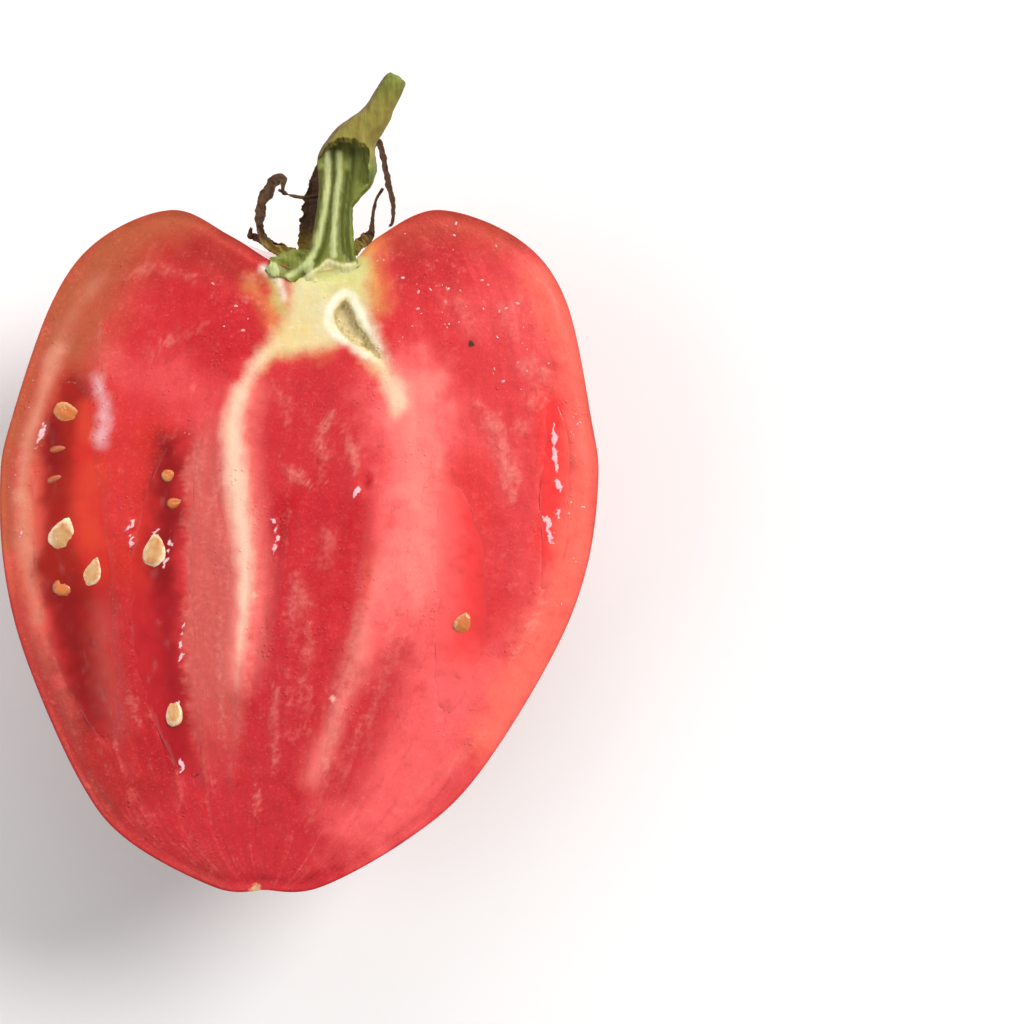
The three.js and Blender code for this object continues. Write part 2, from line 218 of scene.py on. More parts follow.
def smooth_run(points, steps=12, closed=False):
    """Many points on a smooth line through the given ones."""
    given = np.array(points, float)
    if closed:
        padded = np.vstack([given[-1], given, given[:2]])
    else:
        padded = np.vstack([given[0], given, given[-1]])
    t = (np.arange(steps) / steps)[:, None]
    run = []
    for a, b, c, d in zip(padded, padded[1:], padded[2:], padded[3:]):
        start, end = (c - a) / 2, (d - b) / 2
        run.append(
            b
            + start * t
            + (3 * (c - b) - 2 * start - end) * t**2
            + (2 * (b - c) + start + end) * t**3
        )
    return np.vstack(run if closed else run + [given[-1:]])


def face_place(across, up):
    """Where a point of the cut face lies, from its shares, in millimetres."""
    s = sizes()
    x = s.lean * (up - 0.5) + across * s.half_width
    left_to_middle = FRUIT_LOW[0] + s.half_width / MM - s.lean / MM * WIDEST
    return x / MM + left_to_middle, FRUIT_LOW[1] + up * s.fruit_length / MM


def dipped(height, behind):
    """Heights along the profile, lower over the shoulders towards the middle of the back."""
    s = sizes()
    over = np.maximum(height - HOLLOW, 0) / (1 - HOLLOW)
    return height - s.shoulder_dip / s.fruit_length * behind * over


AT_ONCE = 8000  # directions worked out together, to save memory


def form_radius(steep, turn):
    """How far the fruit's skin is from its heart, in the direction steep above the middle and
    turned about the fruit's axis from straight down. The lean is left out."""
    s = sizes()
    half, tall = s.half_width / MM, s.fruit_length / MM
    left, right, level = smooth_run(PROFILE, 12).T
    reached = np.empty(len(steep))
    for low in range(0, len(steep), AT_ONCE):
        part = slice(low, low + AT_ONCE)
        way = turn[part, None]
        to_right = (1 + np.sin(way)) / 2
        radius = (left + (right - left) * to_right) * half
        height = dipped(level, np.cos(way) ** 2)
        rib = (
            s.rib_height
            / MM
            * height**2
            * (radius / half)
            * (np.cos(3 * way) ** 2 - 0.5)
            * np.cos(way) ** 2
        )
        out, climb = radius + rib, (height - HEART) * tall
        angles = np.arctan2(climb, np.maximum(out, 1e-6))
        angles[:, 0], angles[:, -1] = -math.pi / 2, math.pi / 2
        far = np.hypot(out, climb)
        past = np.clip((angles < steep[part, None]).sum(1), 1, len(level) - 1)
        row = np.arange(len(past))
        a0, a1 = angles[row, past - 1], angles[row, past]
        mix = np.clip((steep[part] - a0) / np.maximum(a1 - a0, 1e-9), 0, 1)
        reached[part] = far[row, past - 1] * (1 - mix) + far[row, past] * mix
    return reached


def leaned(x, up_mm):
    """Moves x by the fruit's lean, at a height above the blossom end."""
    up = up_mm / (sizes().fruit_length / MM)
    middle, _ = face_place(0, up)
    return x + middle


def soft_floor(value, low, soft):
    """value, kept above low with a soft bend."""
    over = value - low
    bent = (over + soft) ** 2 / (4 * soft)
    return low + np.where(over > soft, over, np.where(over < -soft, 0, bent))


def hollow_height(x, z):
    """How high the stalk hollow's wall is at a place, from the blossom end, in millimetres."""
    s = sizes()
    half, tall = s.half_width / MM, s.fruit_length / MM
    out = x - leaned(0, tall)
    radius = math.hypot(out, z * s.half_width / s.round_depth)
    sine = out / max(radius, 0.35)
    left, right, height = smooth_run(PROFILE[-4:], 12).T[:, ::-1]
    height = dipped(height, 1 - sine**2)
    reach = (left + (right - left) * (1 + sine) / 2) * half
    return float(np.interp(radius, reach, height * tall))


# ---- Measuring on the cut face ----


class Spot:
    """Distances on the cut face, in millimetres, from every point of a mesh."""

    def __init__(self, x, y):
        self.x, self.y = x, y
        self.shape = x.shape

    def near(self, run):
        """Distance to a line of points, and the share of the line that is nearest."""
        best = np.full(self.shape, 1e9)
        place = np.zeros(self.shape)
        lengths = np.r_[0, np.cumsum(np.hypot(*np.diff(run, axis=0).T))]
        for i, ((ax, ay), (bx, by)) in enumerate(zip(run, run[1:])):
            dx, dy = bx - ax, by - ay
            size = dx * dx + dy * dy or 1e-9
            t = np.clip(((self.x - ax) * dx + (self.y - ay) * dy) / size, 0, 1)
            away = np.hypot(self.x - ax - t * dx, self.y - ay - t * dy)
            closer = away < best
            best = np.where(closer, away, best)
            at = (lengths[i] + t * math.sqrt(size)) / lengths[-1]
            place = np.where(closer, at, place)
        return best, place

    def run(self, points):
        """Distance to a smooth line through shares of the cut face, and the nearest share of it."""
        places = [face_place(*point) for point in points]
        return self.near(smooth_run(places, 6))

    def patch(self, points):
        """Distance inside a smooth closed outline, below zero outside it."""
        ring = smooth_run([face_place(*point) for point in points], 4, closed=True)
        ring = np.vstack([ring, ring[:1]])
        away, _ = self.near(ring)
        crossed = np.zeros(self.shape, bool)
        for (ax, ay), (bx, by) in zip(ring, ring[1:]):
            spans = (ay > self.y) != (by > self.y)
            climb = (by - ay) or 1e-9
            crossed ^= spans & (self.x < ax + (self.y - ay) * (bx - ax) / climb)
        return np.where(crossed, away, -away)

    def dot(self, across, up):
        x, y = face_place(across, up)
        return np.hypot(self.x - x, self.y - y)

    def shares(self):
        """The across and up shares of each point."""
        s = sizes()
        up = (self.y - FRUIT_LOW[1]) / (s.fruit_length / MM)
        middle, _ = face_place(0, up)
        return (self.x - middle) / (s.half_width / MM), up


def rise(value, low, high):
    """A smooth step from 0 at low to 1 at high."""
    t = np.clip((value - low) / (high - low), 0, 1)
    return t * t * (3 - 2 * t)


def ripple(x, y, size, salt=0.0, octaves=3):
    """Smooth noise about zero at each point, with features of that size."""
    flat = np.column_stack([np.ravel(x), np.ravel(y)]) / size
    values = [
        noise.fractal((a, b, salt), 0.6, 2.1, octaves) for a, b in flat.tolist()
    ]
    return np.array(values).reshape(np.shape(x))


# The seed chambers, as in the solids, and the shallow grooves beside the core: the line each
# follows in shares of the cut face, its half width and its depth in millimetres, and whether jelly
# fills it.
CHAMBERS = {
    "outer_left": {
        "run": [
            (-0.785, 0.765), (-0.785, 0.617), (-0.74, 0.485), (-0.68, 0.36), (-0.55, 0.21),
        ],
        "half_width": 4.4,
        "depth": 5.5,
        "jelly": True,
    },
    "inner_left": {
        "run": [
            (-0.39, 0.69), (-0.43, 0.573), (-0.435, 0.456), (-0.38, 0.309), (-0.26, 0.15),
        ],
        "half_width": 3.8,
        "depth": 6.0,
        "jelly": True,
    },
    "inner_right": {
        "run": [(0.5, 0.61), (0.56, 0.485), (0.585, 0.382), (0.55, 0.25)],
        "half_width": 3.2,
        "depth": 4.5,
        "jelly": True,
    },
    "outer_right": {
        "run": [
            (0.805, 0.735), (0.85, 0.661), (0.857, 0.573), (0.87, 0.5), (0.84, 0.43),
        ],
        "half_width": 1.7,
        "depth": 4.5,
        "jelly": True,
    },
    "core_groove_left": {
        "run": [(-0.035, 0.57), (-0.068, 0.47), (-0.095, 0.367), (-0.1, 0.28)],
        "half_width": 1.5,
        "depth": 0.5,
        "jelly": False,
    },
    "core_groove_right": {
        "run": [
            (0.23, 0.6), (0.225, 0.514), (0.2, 0.4), (0.156, 0.279), (0.13, 0.169),
        ],
        "half_width": 1.6,
        "depth": 0.35,
        "jelly": False,
    },
}
SHELF = 0.42  # how far the flesh slopes down softly before a chamber's wall drops, in millimetres


def spindle(t):
    """How wide a chamber is along its line, as a share of its full width."""
    return np.maximum(0.06, np.sin(np.pi * np.clip(t, 0, 1)) ** 0.6)


# Outlines and lines on the cut face, in shares across from the axis and up from the blossom end.
CORE = [
    (-0.09, 0.93), (-0.085, 0.9), (-0.08, 0.86), (-0.1, 0.83), (-0.15, 0.805), (-0.19, 0.775),
    (-0.218, 0.748), (-0.228, 0.722), (-0.207, 0.735), (-0.175, 0.76), (-0.12, 0.783),
    (-0.05, 0.791), (0.03, 0.797), (0.08, 0.803), (0.13, 0.8), (0.2, 0.775), (0.25, 0.75),
    (0.28, 0.725), (0.3, 0.7), (0.312, 0.705), (0.305, 0.735), (0.28, 0.765), (0.23, 0.805),
    (0.185, 0.85), (0.16, 0.89), (0.14, 0.93),
]
# The opening in the split core.
OPENING = [
    (0.101, 0.868), (0.07, 0.846), (0.083, 0.828), (0.125, 0.81), (0.167, 0.799), (0.206, 0.79),
    (0.25, 0.776), (0.217, 0.797), (0.184, 0.815), (0.149, 0.835), (0.122, 0.855),
]
STRAND = [
    (-0.22, 0.73), (-0.238, 0.69), (-0.228, 0.65), (-0.205, 0.59), (-0.178, 0.53), (-0.155, 0.47),
    (-0.15, 0.41), (-0.15, 0.355), (-0.15, 0.3),
]
COLUMELLA = [
    (-0.31, 0.72), (-0.36, 0.67), (-0.4, 0.62), (-0.38, 0.58), (-0.375, 0.53), (-0.37, 0.49),
    (-0.355, 0.45), (-0.36, 0.4), (-0.35, 0.36), (-0.335, 0.32), (-0.32, 0.28), (-0.3, 0.24),
    (-0.26, 0.18), (-0.21, 0.12), (-0.15, 0.1), (-0.12, 0.14), (-0.11, 0.22), (-0.11, 0.3),
    (-0.12, 0.37), (-0.13, 0.43), (-0.14, 0.49), (-0.17, 0.58), (-0.21, 0.64), (-0.25, 0.69),
]
# The tones of the cut, laid over each other in turn: the colour, how strongly it lies, its half
# width and the softness of its edge in millimetres, and the line it follows.
STAINS = [
    ("rose", 0.9, 16.0, 12.0, [(-0.4, 0.1), (0.1, 0.08)]),
    ("rose", 0.6, 7.0, 6.0, [(0.05, 0.7), (0.0, 0.45), (-0.02, 0.25)]),
    ("flesh_pale", 0.5, 6.0, 9.0, [(0.72, 0.86), (0.78, 0.7), (0.76, 0.5), (0.66, 0.3)]),
    ("flesh", 0.7, 2.0, 4.0, [(0.6, 0.78), (0.66, 0.73), (0.76, 0.66)]),
    ("flesh", 0.6, 2.0, 4.0, [(0.76, 0.58), (0.74, 0.46), (0.7, 0.36)]),
    ("flesh_pale", 0.9, 5.0, 6.0, [(0.62, 0.32), (0.42, 0.16), (0.34, 0.12)]),
    ("flesh_pale", 0.9, 5.5, 4.0, [(0.34, 0.73), (0.4, 0.6), (0.41, 0.46), (0.36, 0.36)]),
    ("blush", 0.9, 2.4, 4.0, [(0.35, 0.73), (0.37, 0.66), (0.42, 0.56), (0.4, 0.46)]),
    ("blush", 0.7, 1.0, 2.4, [(0.28, 0.47), (0.26, 0.38), (0.2, 0.28), (0.13, 0.17)]),
    ("rose", 0.8, 1.6, 3.0, [(0.37, 0.34), (0.31, 0.25), (0.24, 0.15)]),
    ("russet", 0.9, 5.0, 6.0, [(-0.9, 0.74), (-0.8, 0.86), (-0.6, 0.95), (-0.36, 0.96)]),
    ("shoulder", 0.95, 2.6, 6.5, [(-0.95, 0.7), (-0.88, 0.82), (-0.72, 0.93), (-0.5, 0.985)]),
    ("shoulder", 0.6, 1.0, 7.0, [(-0.84, 0.88), (-0.8, 0.8), (-0.78, 0.77)]),
    ("crimson", 0.8, 4.0, 6.0, [(-0.46, 0.89), (-0.36, 0.86), (-0.26, 0.83)]),
    ("crimson", 0.4, 3.0, 4.0, [(-0.56, 0.8), (-0.4, 0.78)]),
    ("brick", 0.8, 1.6, 3.0, [(-0.4, 0.94), (-0.3, 0.93), (-0.22, 0.91)]),
    ("flesh_pale", 0.5, 2.0, 4.5, [(-0.5, 0.75), (-0.42, 0.73), (-0.34, 0.71)]),
    ("flesh_pale", 0.5, 1.0, 3.0, [(-0.66, 0.78), (-0.62, 0.74)]),
    ("wall_dark", 0.9, 3.2, 3.0, [(-0.98, 0.5), (-0.9, 0.37), (-0.8, 0.27), (-0.62, 0.13)]),
    ("wall_dark", 0.6, 2.4, 4.0, [(-0.62, 0.12), (-0.4, 0.03), (-0.2, 0.0)]),
    ("russet", 0.9, 3.0, 2.4, [(-0.9, 0.76), (-0.93, 0.68), (-0.93, 0.6), (-0.89, 0.46)]),
    ("wall", 0.35, 2.0, 2.4, [(-0.9, 0.6), (-0.87, 0.5), (-0.83, 0.4)]),
    ("shoulder", 0.95, 1.2, 2.0, [(-0.96, 0.8), (-0.99, 0.68), (-1.01, 0.6), (-1.0, 0.52)]),
    ("wall_line", 0.35, 0.3, 1.8, [(-0.72, 0.9), (-0.79, 0.86), (-0.84, 0.81)]),
    ("wall_line", 0.9, 0.5, 1.3, [(-0.85, 0.79), (-0.86, 0.77), (-0.89, 0.71), (-0.925, 0.64),
                                  (-0.925, 0.58)]),
    ("wall_line", 0.75, 0.5, 1.4, [(-0.925, 0.58), (-0.9, 0.53), (-0.87, 0.46), (-0.83, 0.4)]),
    ("wall_line", 0.4, 0.5, 1.8, [(-0.83, 0.4), (-0.78, 0.34), (-0.66, 0.24)]),
    ("brick", 0.9, 6.0, 5.0, [(-0.62, 0.42), (-0.56, 0.32), (-0.46, 0.2)]),
    ("ember", 0.8, 4.6, 3.4, [(-0.72, 0.7), (-0.7, 0.6), (-0.66, 0.5)]),
    ("flesh", 0.85, 2.6, 3.0, [(-0.56, 0.7), (-0.55, 0.62), (-0.56, 0.55)]),
    ("ember", 0.7, 3.0, 3.0, [(-0.5, 0.66), (-0.5, 0.55), (-0.5, 0.45)]),
    ("chamber", 0.97, 1.8, 1.6, [(-0.775, 0.735), (-0.81, 0.67), (-0.8, 0.56), (-0.785, 0.47)]),
    ("chamber", 0.92, 2.8, 2.6, [(-0.77, 0.46), (-0.7, 0.38), (-0.64, 0.31)]),
    ("chamber_deep", 0.8, 0.8, 1.4, [(-0.84, 0.68), (-0.83, 0.63)]),
    ("chamber_deep", 0.7, 1.8, 3.0, [(-0.74, 0.42), (-0.69, 0.33), (-0.62, 0.26)]),
    ("columella", 0.5, 1.0, 3.4, [(-0.61, 0.4), (-0.585, 0.33), (-0.53, 0.25)]),
    ("amber", 0.7, 1.0, 2.8, [(-0.69, 0.61), (-0.71, 0.57), (-0.68, 0.52)]),
    ("amber", 0.7, 0.6, 1.6, [(-0.74, 0.71), (-0.73, 0.67)]),
    ("chamber_deep", 0.9, 1.5, 2.6, [(-0.45, 0.65), (-0.43, 0.54), (-0.42, 0.42), (-0.37, 0.3),
                                     (-0.35, 0.2)]),
    ("crimson", 0.6, 3.0, 4.0, [(-0.5, 0.4), (-0.45, 0.3), (-0.4, 0.2)]),
    ("ruby", 0.9, 0.9, 1.8, [(-0.03, 0.565), (-0.06, 0.52), (-0.09, 0.46)]),
    ("blush", 0.6, 0.3, 1.2, [(0.4, 0.64), (0.41, 0.56)]),
    ("ruby", 0.8, 1.0, 2.4, [(-0.09, 0.36), (-0.1, 0.28)]),
    ("ruby", 0.9, 0.4, 0.6, [(0.225, 0.612), (0.235, 0.605), (0.23, 0.596)]),
    ("ruby", 0.7, 0.9, 2.4, [(0.205, 0.56), (0.205, 0.46), (0.18, 0.34), (0.13, 0.24)]),
    ("ember", 0.5, 0.3, 1.2, [(0.26, 0.5), (0.25, 0.42), (0.21, 0.32)]),
    ("ember", 0.6, 0.4, 1.0, [(-0.1, 0.44), (-0.115, 0.39), (-0.12, 0.34)]),
    ("crimson", 0.6, 2.0, 3.0, [(0.05, 0.57), (0.1, 0.52), (0.1, 0.42)]),
    ("rose", 0.7, 3.0, 4.0, [(-0.02, 0.42), (-0.02, 0.3), (0.02, 0.2)]),
    ("scarlet", 0.6, 2.0, 4.0, [(0.54, 0.6), (0.6, 0.47), (0.6, 0.36)]),
    ("crimson", 0.45, 1.0, 3.0, [(0.56, 0.62), (0.66, 0.54), (0.69, 0.46), (0.66, 0.38)]),
    ("flesh_pale", 0.5, 0.8, 2.0, [(0.5, 0.58), (0.54, 0.48), (0.52, 0.38)]),
    ("scarlet", 0.8, 1.4, 1.6, [(0.82, 0.72), (0.86, 0.6), (0.85, 0.5)]),
    ("russet", 0.8, 2.4, 3.0, [(0.26, 0.97), (0.42, 0.99), (0.6, 0.97)]),
    ("brick", 0.6, 2.0, 5.0, [(0.3, 0.93), (0.4, 0.93)]),
    # Painted light: the outer wall on the lit right side.
    ("wall", 0.9, 2.4, 2.6, [(0.76, 0.9), (0.93, 0.74), (0.96, 0.56), (0.88, 0.4), (0.7, 0.22)]),
    ("apricot", 0.85, 0.8, 2.4, [(0.17, 0.96), (0.19, 0.91), (0.21, 0.86)]),
    ("core_green", 0.5, 0.5, 1.4, [(0.16, 0.93), (0.17, 0.9), (0.185, 0.87)]),
    ("apricot", 0.7, 0.6, 1.8, [(-0.22, 0.89), (-0.16, 0.86), (-0.13, 0.83)]),
    ("core_green", 0.8, 0.5, 1.4, [(-0.15, 0.9), (-0.12, 0.87), (-0.1, 0.85)]),
    ("core_white", 0.8, 0.3, 0.8, [(-0.18, 0.915), (-0.13, 0.9), (-0.1, 0.87)]),
    # Painted highlights on a wet ridge, in the glint colour.
    ("glint", 0.8, 0.2, 1.5, [(-0.7, 0.75), (-0.68, 0.72), (-0.672, 0.69), (-0.675, 0.66)]),
    ("glint", 0.3, 0.2, 0.9, [(-0.66, 0.73), (-0.648, 0.69)]),
    ("apricot", 0.45, 0.4, 2.0, [(-0.13, 0.785), (-0.02, 0.792), (0.06, 0.795)]),
    ("cream", 0.9, 0.2, 1.8, [(0.31, 0.735), (0.325, 0.715)]),
]
# Pale strands and folds: the line, its half width in millimetres and how pale it is.
PALE = [
    ([(-0.638, 0.9), (-0.593, 0.909), (-0.53, 0.914), (-0.404, 0.9)], 0.7, 0.5),
    ([(-0.546, 0.787), (-0.479, 0.806), (-0.408, 0.818), (-0.338, 0.836)], 0.5, 0.5),
    ([(-0.705, 0.833), (-0.695, 0.797), (-0.686, 0.736)], 0.5, 0.45),
    ([(-0.255, 0.599), (-0.3, 0.555), (-0.316, 0.533)], 0.3, 0.5),
    ([(-0.223, 0.418), (-0.217, 0.334), (-0.19, 0.246)], 0.5, 0.45),
    ([(0.572, 0.716), (0.62, 0.69), (0.665, 0.65), (0.705, 0.61), (0.715, 0.57)], 1.3, 1.0),
    ([(0.62, 0.705), (0.66, 0.68)], 0.6, 0.9),
    ([(0.8, 0.765), (0.785, 0.735), (0.75, 0.71)], 1.1, 0.9),
    ([(0.738, 0.782), (0.738, 0.752)], 1.3, 0.8),
    ([(0.715, 0.69), (0.735, 0.67)], 1.2, 0.7),
    ([(0.62, 0.86), (0.66, 0.84), (0.68, 0.81)], 1.5, 0.5),
    ([(0.42, 0.87), (0.5, 0.85), (0.56, 0.81)], 1.4, 0.4),
    ([(0.847, 0.466), (0.843, 0.419), (0.804, 0.377), (0.756, 0.334)], 0.3, 0.8),
    ([(0.09, 0.7), (0.06, 0.665), (0.073, 0.633), (0.075, 0.603)], 0.8, 0.9),
    ([(0.147, 0.675), (0.169, 0.649), (0.191, 0.611)], 0.9, 0.8),
    ([(-0.058, 0.625), (-0.013, 0.608), (0.026, 0.596)], 0.8, 0.8),
    ([(-0.12, 0.75), (-0.07, 0.71), (-0.05, 0.68)], 0.6, 0.4),
    ([(0.02, 0.46), (0.04, 0.43), (0.03, 0.38)], 1.3, 0.5),
    ([(-0.02, 0.3), (-0.01, 0.25), (0.0, 0.19)], 0.7, 0.6),
    ([(0.09, 0.54), (0.12, 0.51), (0.1, 0.47)], 1.1, 0.5),
    ([(0.06, 0.4), (0.08, 0.35), (0.06, 0.29)], 0.8, 0.5),
    ([(0.443, 0.7), (0.45, 0.65), (0.46, 0.59)], 0.8, 0.7),
    ([(0.38, 0.6), (0.385, 0.56)], 0.8, 0.6),
    ([(0.53, 0.5), (0.52, 0.42)], 1.0, 0.6),
    ([(0.383, 0.43), (0.362, 0.397), (0.341, 0.371)], 0.7, 0.6),
    ([(0.25, 0.42), (0.24, 0.36), (0.22, 0.31), (0.19, 0.26)], 1.4, 0.8),
    ([(0.204, 0.283), (0.18, 0.216), (0.163, 0.168)], 0.9, 0.9),
    ([(-0.51, 0.293), (-0.492, 0.271), (-0.472, 0.25)], 0.6, 0.6),
    ([(-0.371, 0.405), (-0.352, 0.356), (-0.335, 0.321)], 0.35, 1.0),
    ([(-0.05, 0.16), (-0.045, 0.1)], 0.35, 0.6),
    ([(0.02, 0.33), (0.03, 0.27)], 0.6, 0.35),
    ([(0.09, 0.3), (0.1, 0.23)], 0.5, 0.35),
    ([(-0.264, 0.868), (-0.178, 0.872)], 0.3, 0.8),
    ([(-0.257, 0.9), (-0.169, 0.894)], 0.4, 0.7),
    ([(0.3, 0.2), (0.33, 0.29), (0.4, 0.38)], 0.7, 0.3),
    ([(0.12, 0.09), (0.2, 0.17), (0.3, 0.25)], 0.6, 0.3),
    ([(0.72, 0.24), (0.62, 0.2), (0.45, 0.13)], 0.8, 0.25),
]
# Wet folds catching the light, raised and painted with highlights: the line and half width in
# millimetres.
GLINTS = [
    ([(-0.082, 0.549), (-0.065, 0.533), (-0.058, 0.515), (-0.068, 0.494)], 0.28),
    ([(-0.561, 0.543), (-0.538, 0.543), (-0.559, 0.527), (-0.536, 0.522)], 0.3),
    ([(-0.55, 0.518), (-0.544, 0.5)], 0.3),
    ([(-0.42, 0.53), (-0.415, 0.506), (-0.42, 0.485), (-0.434, 0.471)], 0.35),
    ([(-0.48, 0.527), (-0.45, 0.53)], 0.3),
    ([(0.835, 0.685), (0.842, 0.66), (0.852, 0.635), (0.858, 0.615)], 0.5),
    ([(0.862, 0.605), (0.876, 0.585)], 0.4),
    ([(0.83, 0.55), (0.852, 0.53), (0.86, 0.51)], 0.5),
    ([(0.875, 0.565), (0.88, 0.545)], 0.3),
    ([(0.205, 0.598), (0.196, 0.585), (0.17, 0.578)], 0.4),
    ([(-0.87, 0.69), (-0.875, 0.665), (-0.885, 0.65)], 0.5),
    ([(-0.66, 0.475), (-0.65, 0.462)], 0.35),
    ([(-0.345, 0.275), (-0.34, 0.25)], 0.3),
    ([(-0.355, 0.405), (-0.35, 0.37), (-0.345, 0.33)], 0.25),
    ([(-0.32, 0.2), (-0.31, 0.17)], 0.3),
]
# Yellow ends of strands: the line, its half width in millimetres and how strong it is.
YELLOW = [
    ([(0.312, 0.73), (0.318, 0.71)], 0.9, 0.8),
    ([(-0.119, 0.436), (-0.119, 0.43)], 0.7, 0.8),
    ([(0.174, 0.284), (0.175, 0.278)], 0.7, 0.9),
]
# Where the cut sparkles with juice: the line, its half width in millimetres and how strongly.
# The sparkle is painted light: a pale sheen and small chips of highlight on the wet cut.
SPARKLE = [
    ([(0.3, 0.94), (0.45, 0.9), (0.5, 0.85)], 8.0, 1.0),
    ([(0.5, 0.95), (0.72, 0.88), (0.84, 0.78)], 4.0, 0.9),
    ([(0.92, 0.7), (0.93, 0.55), (0.85, 0.38)], 2.6, 0.8),
    ([(0.2, 0.78), (0.24, 0.75)], 3.0, 0.8),
    ([(0.6, 0.34), (0.66, 0.3)], 3.0, 0.7),
    ([(-0.3, 0.86), (-0.26, 0.8)], 4.0, 0.6),
    ([(-0.94, 0.72), (-0.95, 0.6)], 1.6, 0.7),
    ([(0.25, 0.6), (0.3, 0.56)], 3.0, 0.5),
    ([(0.0, 0.5), (0.05, 0.3)], 5.0, 0.3),
    ([(0.75, 0.6), (0.72, 0.45)], 4.0, 0.4),
]
SPECK = (0.535, 0.802)  # the small brown speck on the right shoulder

# ---- Making pieces ----


def built(bm, name, surfaces):
    """A finished object of a bmesh whose places are in millimetres."""
    bmesh.ops.scale(bm, vec=(MM, MM, MM), verts=bm.verts)
    mesh = bpy.data.meshes.new(name)
    bm.to_mesh(mesh)
    bm.free()
    mesh.shade_smooth()
    piece = bpy.data.objects.new(name, mesh)
    bpy.context.scene.collection.objects.link(piece)
    for surface in surfaces:
        mesh.materials.append(surface)
    return piece


def settled(piece, slot, *solids):
    """Rides the piece on the part and, where solids are named, stands it for them."""
    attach(piece, "root")
    if solids:
        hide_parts(*solids)
    return piece


def places_of(verts):
    return np.array([vert.co[:] for vert in verts])


def move_to(verts, places):
    for vert, place in zip(verts, places.tolist()):
        vert.co = place


def mesh_places(mesh):
    """The mesh's points, in millimetres."""
    flat = np.empty(len(mesh.vertices) * 3)
    mesh.vertices.foreach_get("co", flat)
    return flat.reshape(-1, 3) / MM


def mark(mesh, **marks):
    """Stores values at the mesh's points, for its surfaces to read."""
    for name, values in marks.items():
        values = np.asarray(values, np.float32)
        kind, field = ("FLOAT", "value") if values.ndim == 1 else ("FLOAT_VECTOR", "vector")
        layer = mesh.attributes.new(name, kind, "POINT")
        layer.data.foreach_set(field, values.ravel())


class Run:
    """A smooth line in space that bodies are swept along."""

    def __init__(self, points, twist=0.0):
        self.line = smooth_run(points, 14)
        steps = np.linalg.norm(np.diff(self.line, axis=0), axis=1)
        self.length = steps.sum()
        self.far = np.r_[0, np.cumsum(steps)] / self.length
        self.twist = twist

    def at(self, t):
        return np.column_stack([np.interp(t, self.far, axis) for axis in self.line.T])

    def frame(self, t):
        """The directions across, out and along the line."""
        along = self.at(np.clip(t + 0.01, 0, 1)) - self.at(np.clip(t - 0.01, 0, 1))
        along /= np.linalg.norm(along, axis=1)[:, None]
        across = np.cross(along, (0.0, 0.0, 1.0))
        across /= np.linalg.norm(across, axis=1)[:, None]
        out = np.cross(across, along)
        turn = np.reshape(self.twist, (-1, 1)) if np.ndim(self.twist) else self.twist
        return (
            across * np.cos(turn) + out * np.sin(turn),
            out * np.cos(turn) - across * np.sin(turn),
            along,
        )

    def beside(self, t, right, up):
        """Places right of the line and above it, in millimetres."""
        across, out, _ = self.frame(t)
        return self.at(t) + across * right[:, None] + out * up[:, None]


def rod(sides, rings):
    """An upright rod with evenly spaced rings, and each point's share of its height, its angle
    about the rod and its distance from the middle."""
    bm = bmesh.new()
    bmesh.ops.create_cone(
        bm, cap_ends=True, segments=sides, radius1=1, radius2=1, depth=1
    )
    upright = [e for e in bm.edges if abs(e.verts[0].co.z - e.verts[1].co.z) > 0.5]
    bmesh.ops.subdivide_edges(bm, edges=upright, cuts=rings, use_grid_fill=True)
    caps = [face for face in bm.faces if abs(face.normal.z) > 0.9]
    for depth in (0.45, 0.35):
        bmesh.ops.inset_region(bm, faces=caps, thickness=depth)
    bm.verts.ensure_lookup_table()
    x, y, z = places_of(bm.verts).T
    return bm, z + 0.5, np.arctan2(y, x), np.hypot(x, y)


def rng(salt):
    """A seeded source of random draws."""
    return np.random.default_rng(4100 + salt)


# ---- Surfaces ----


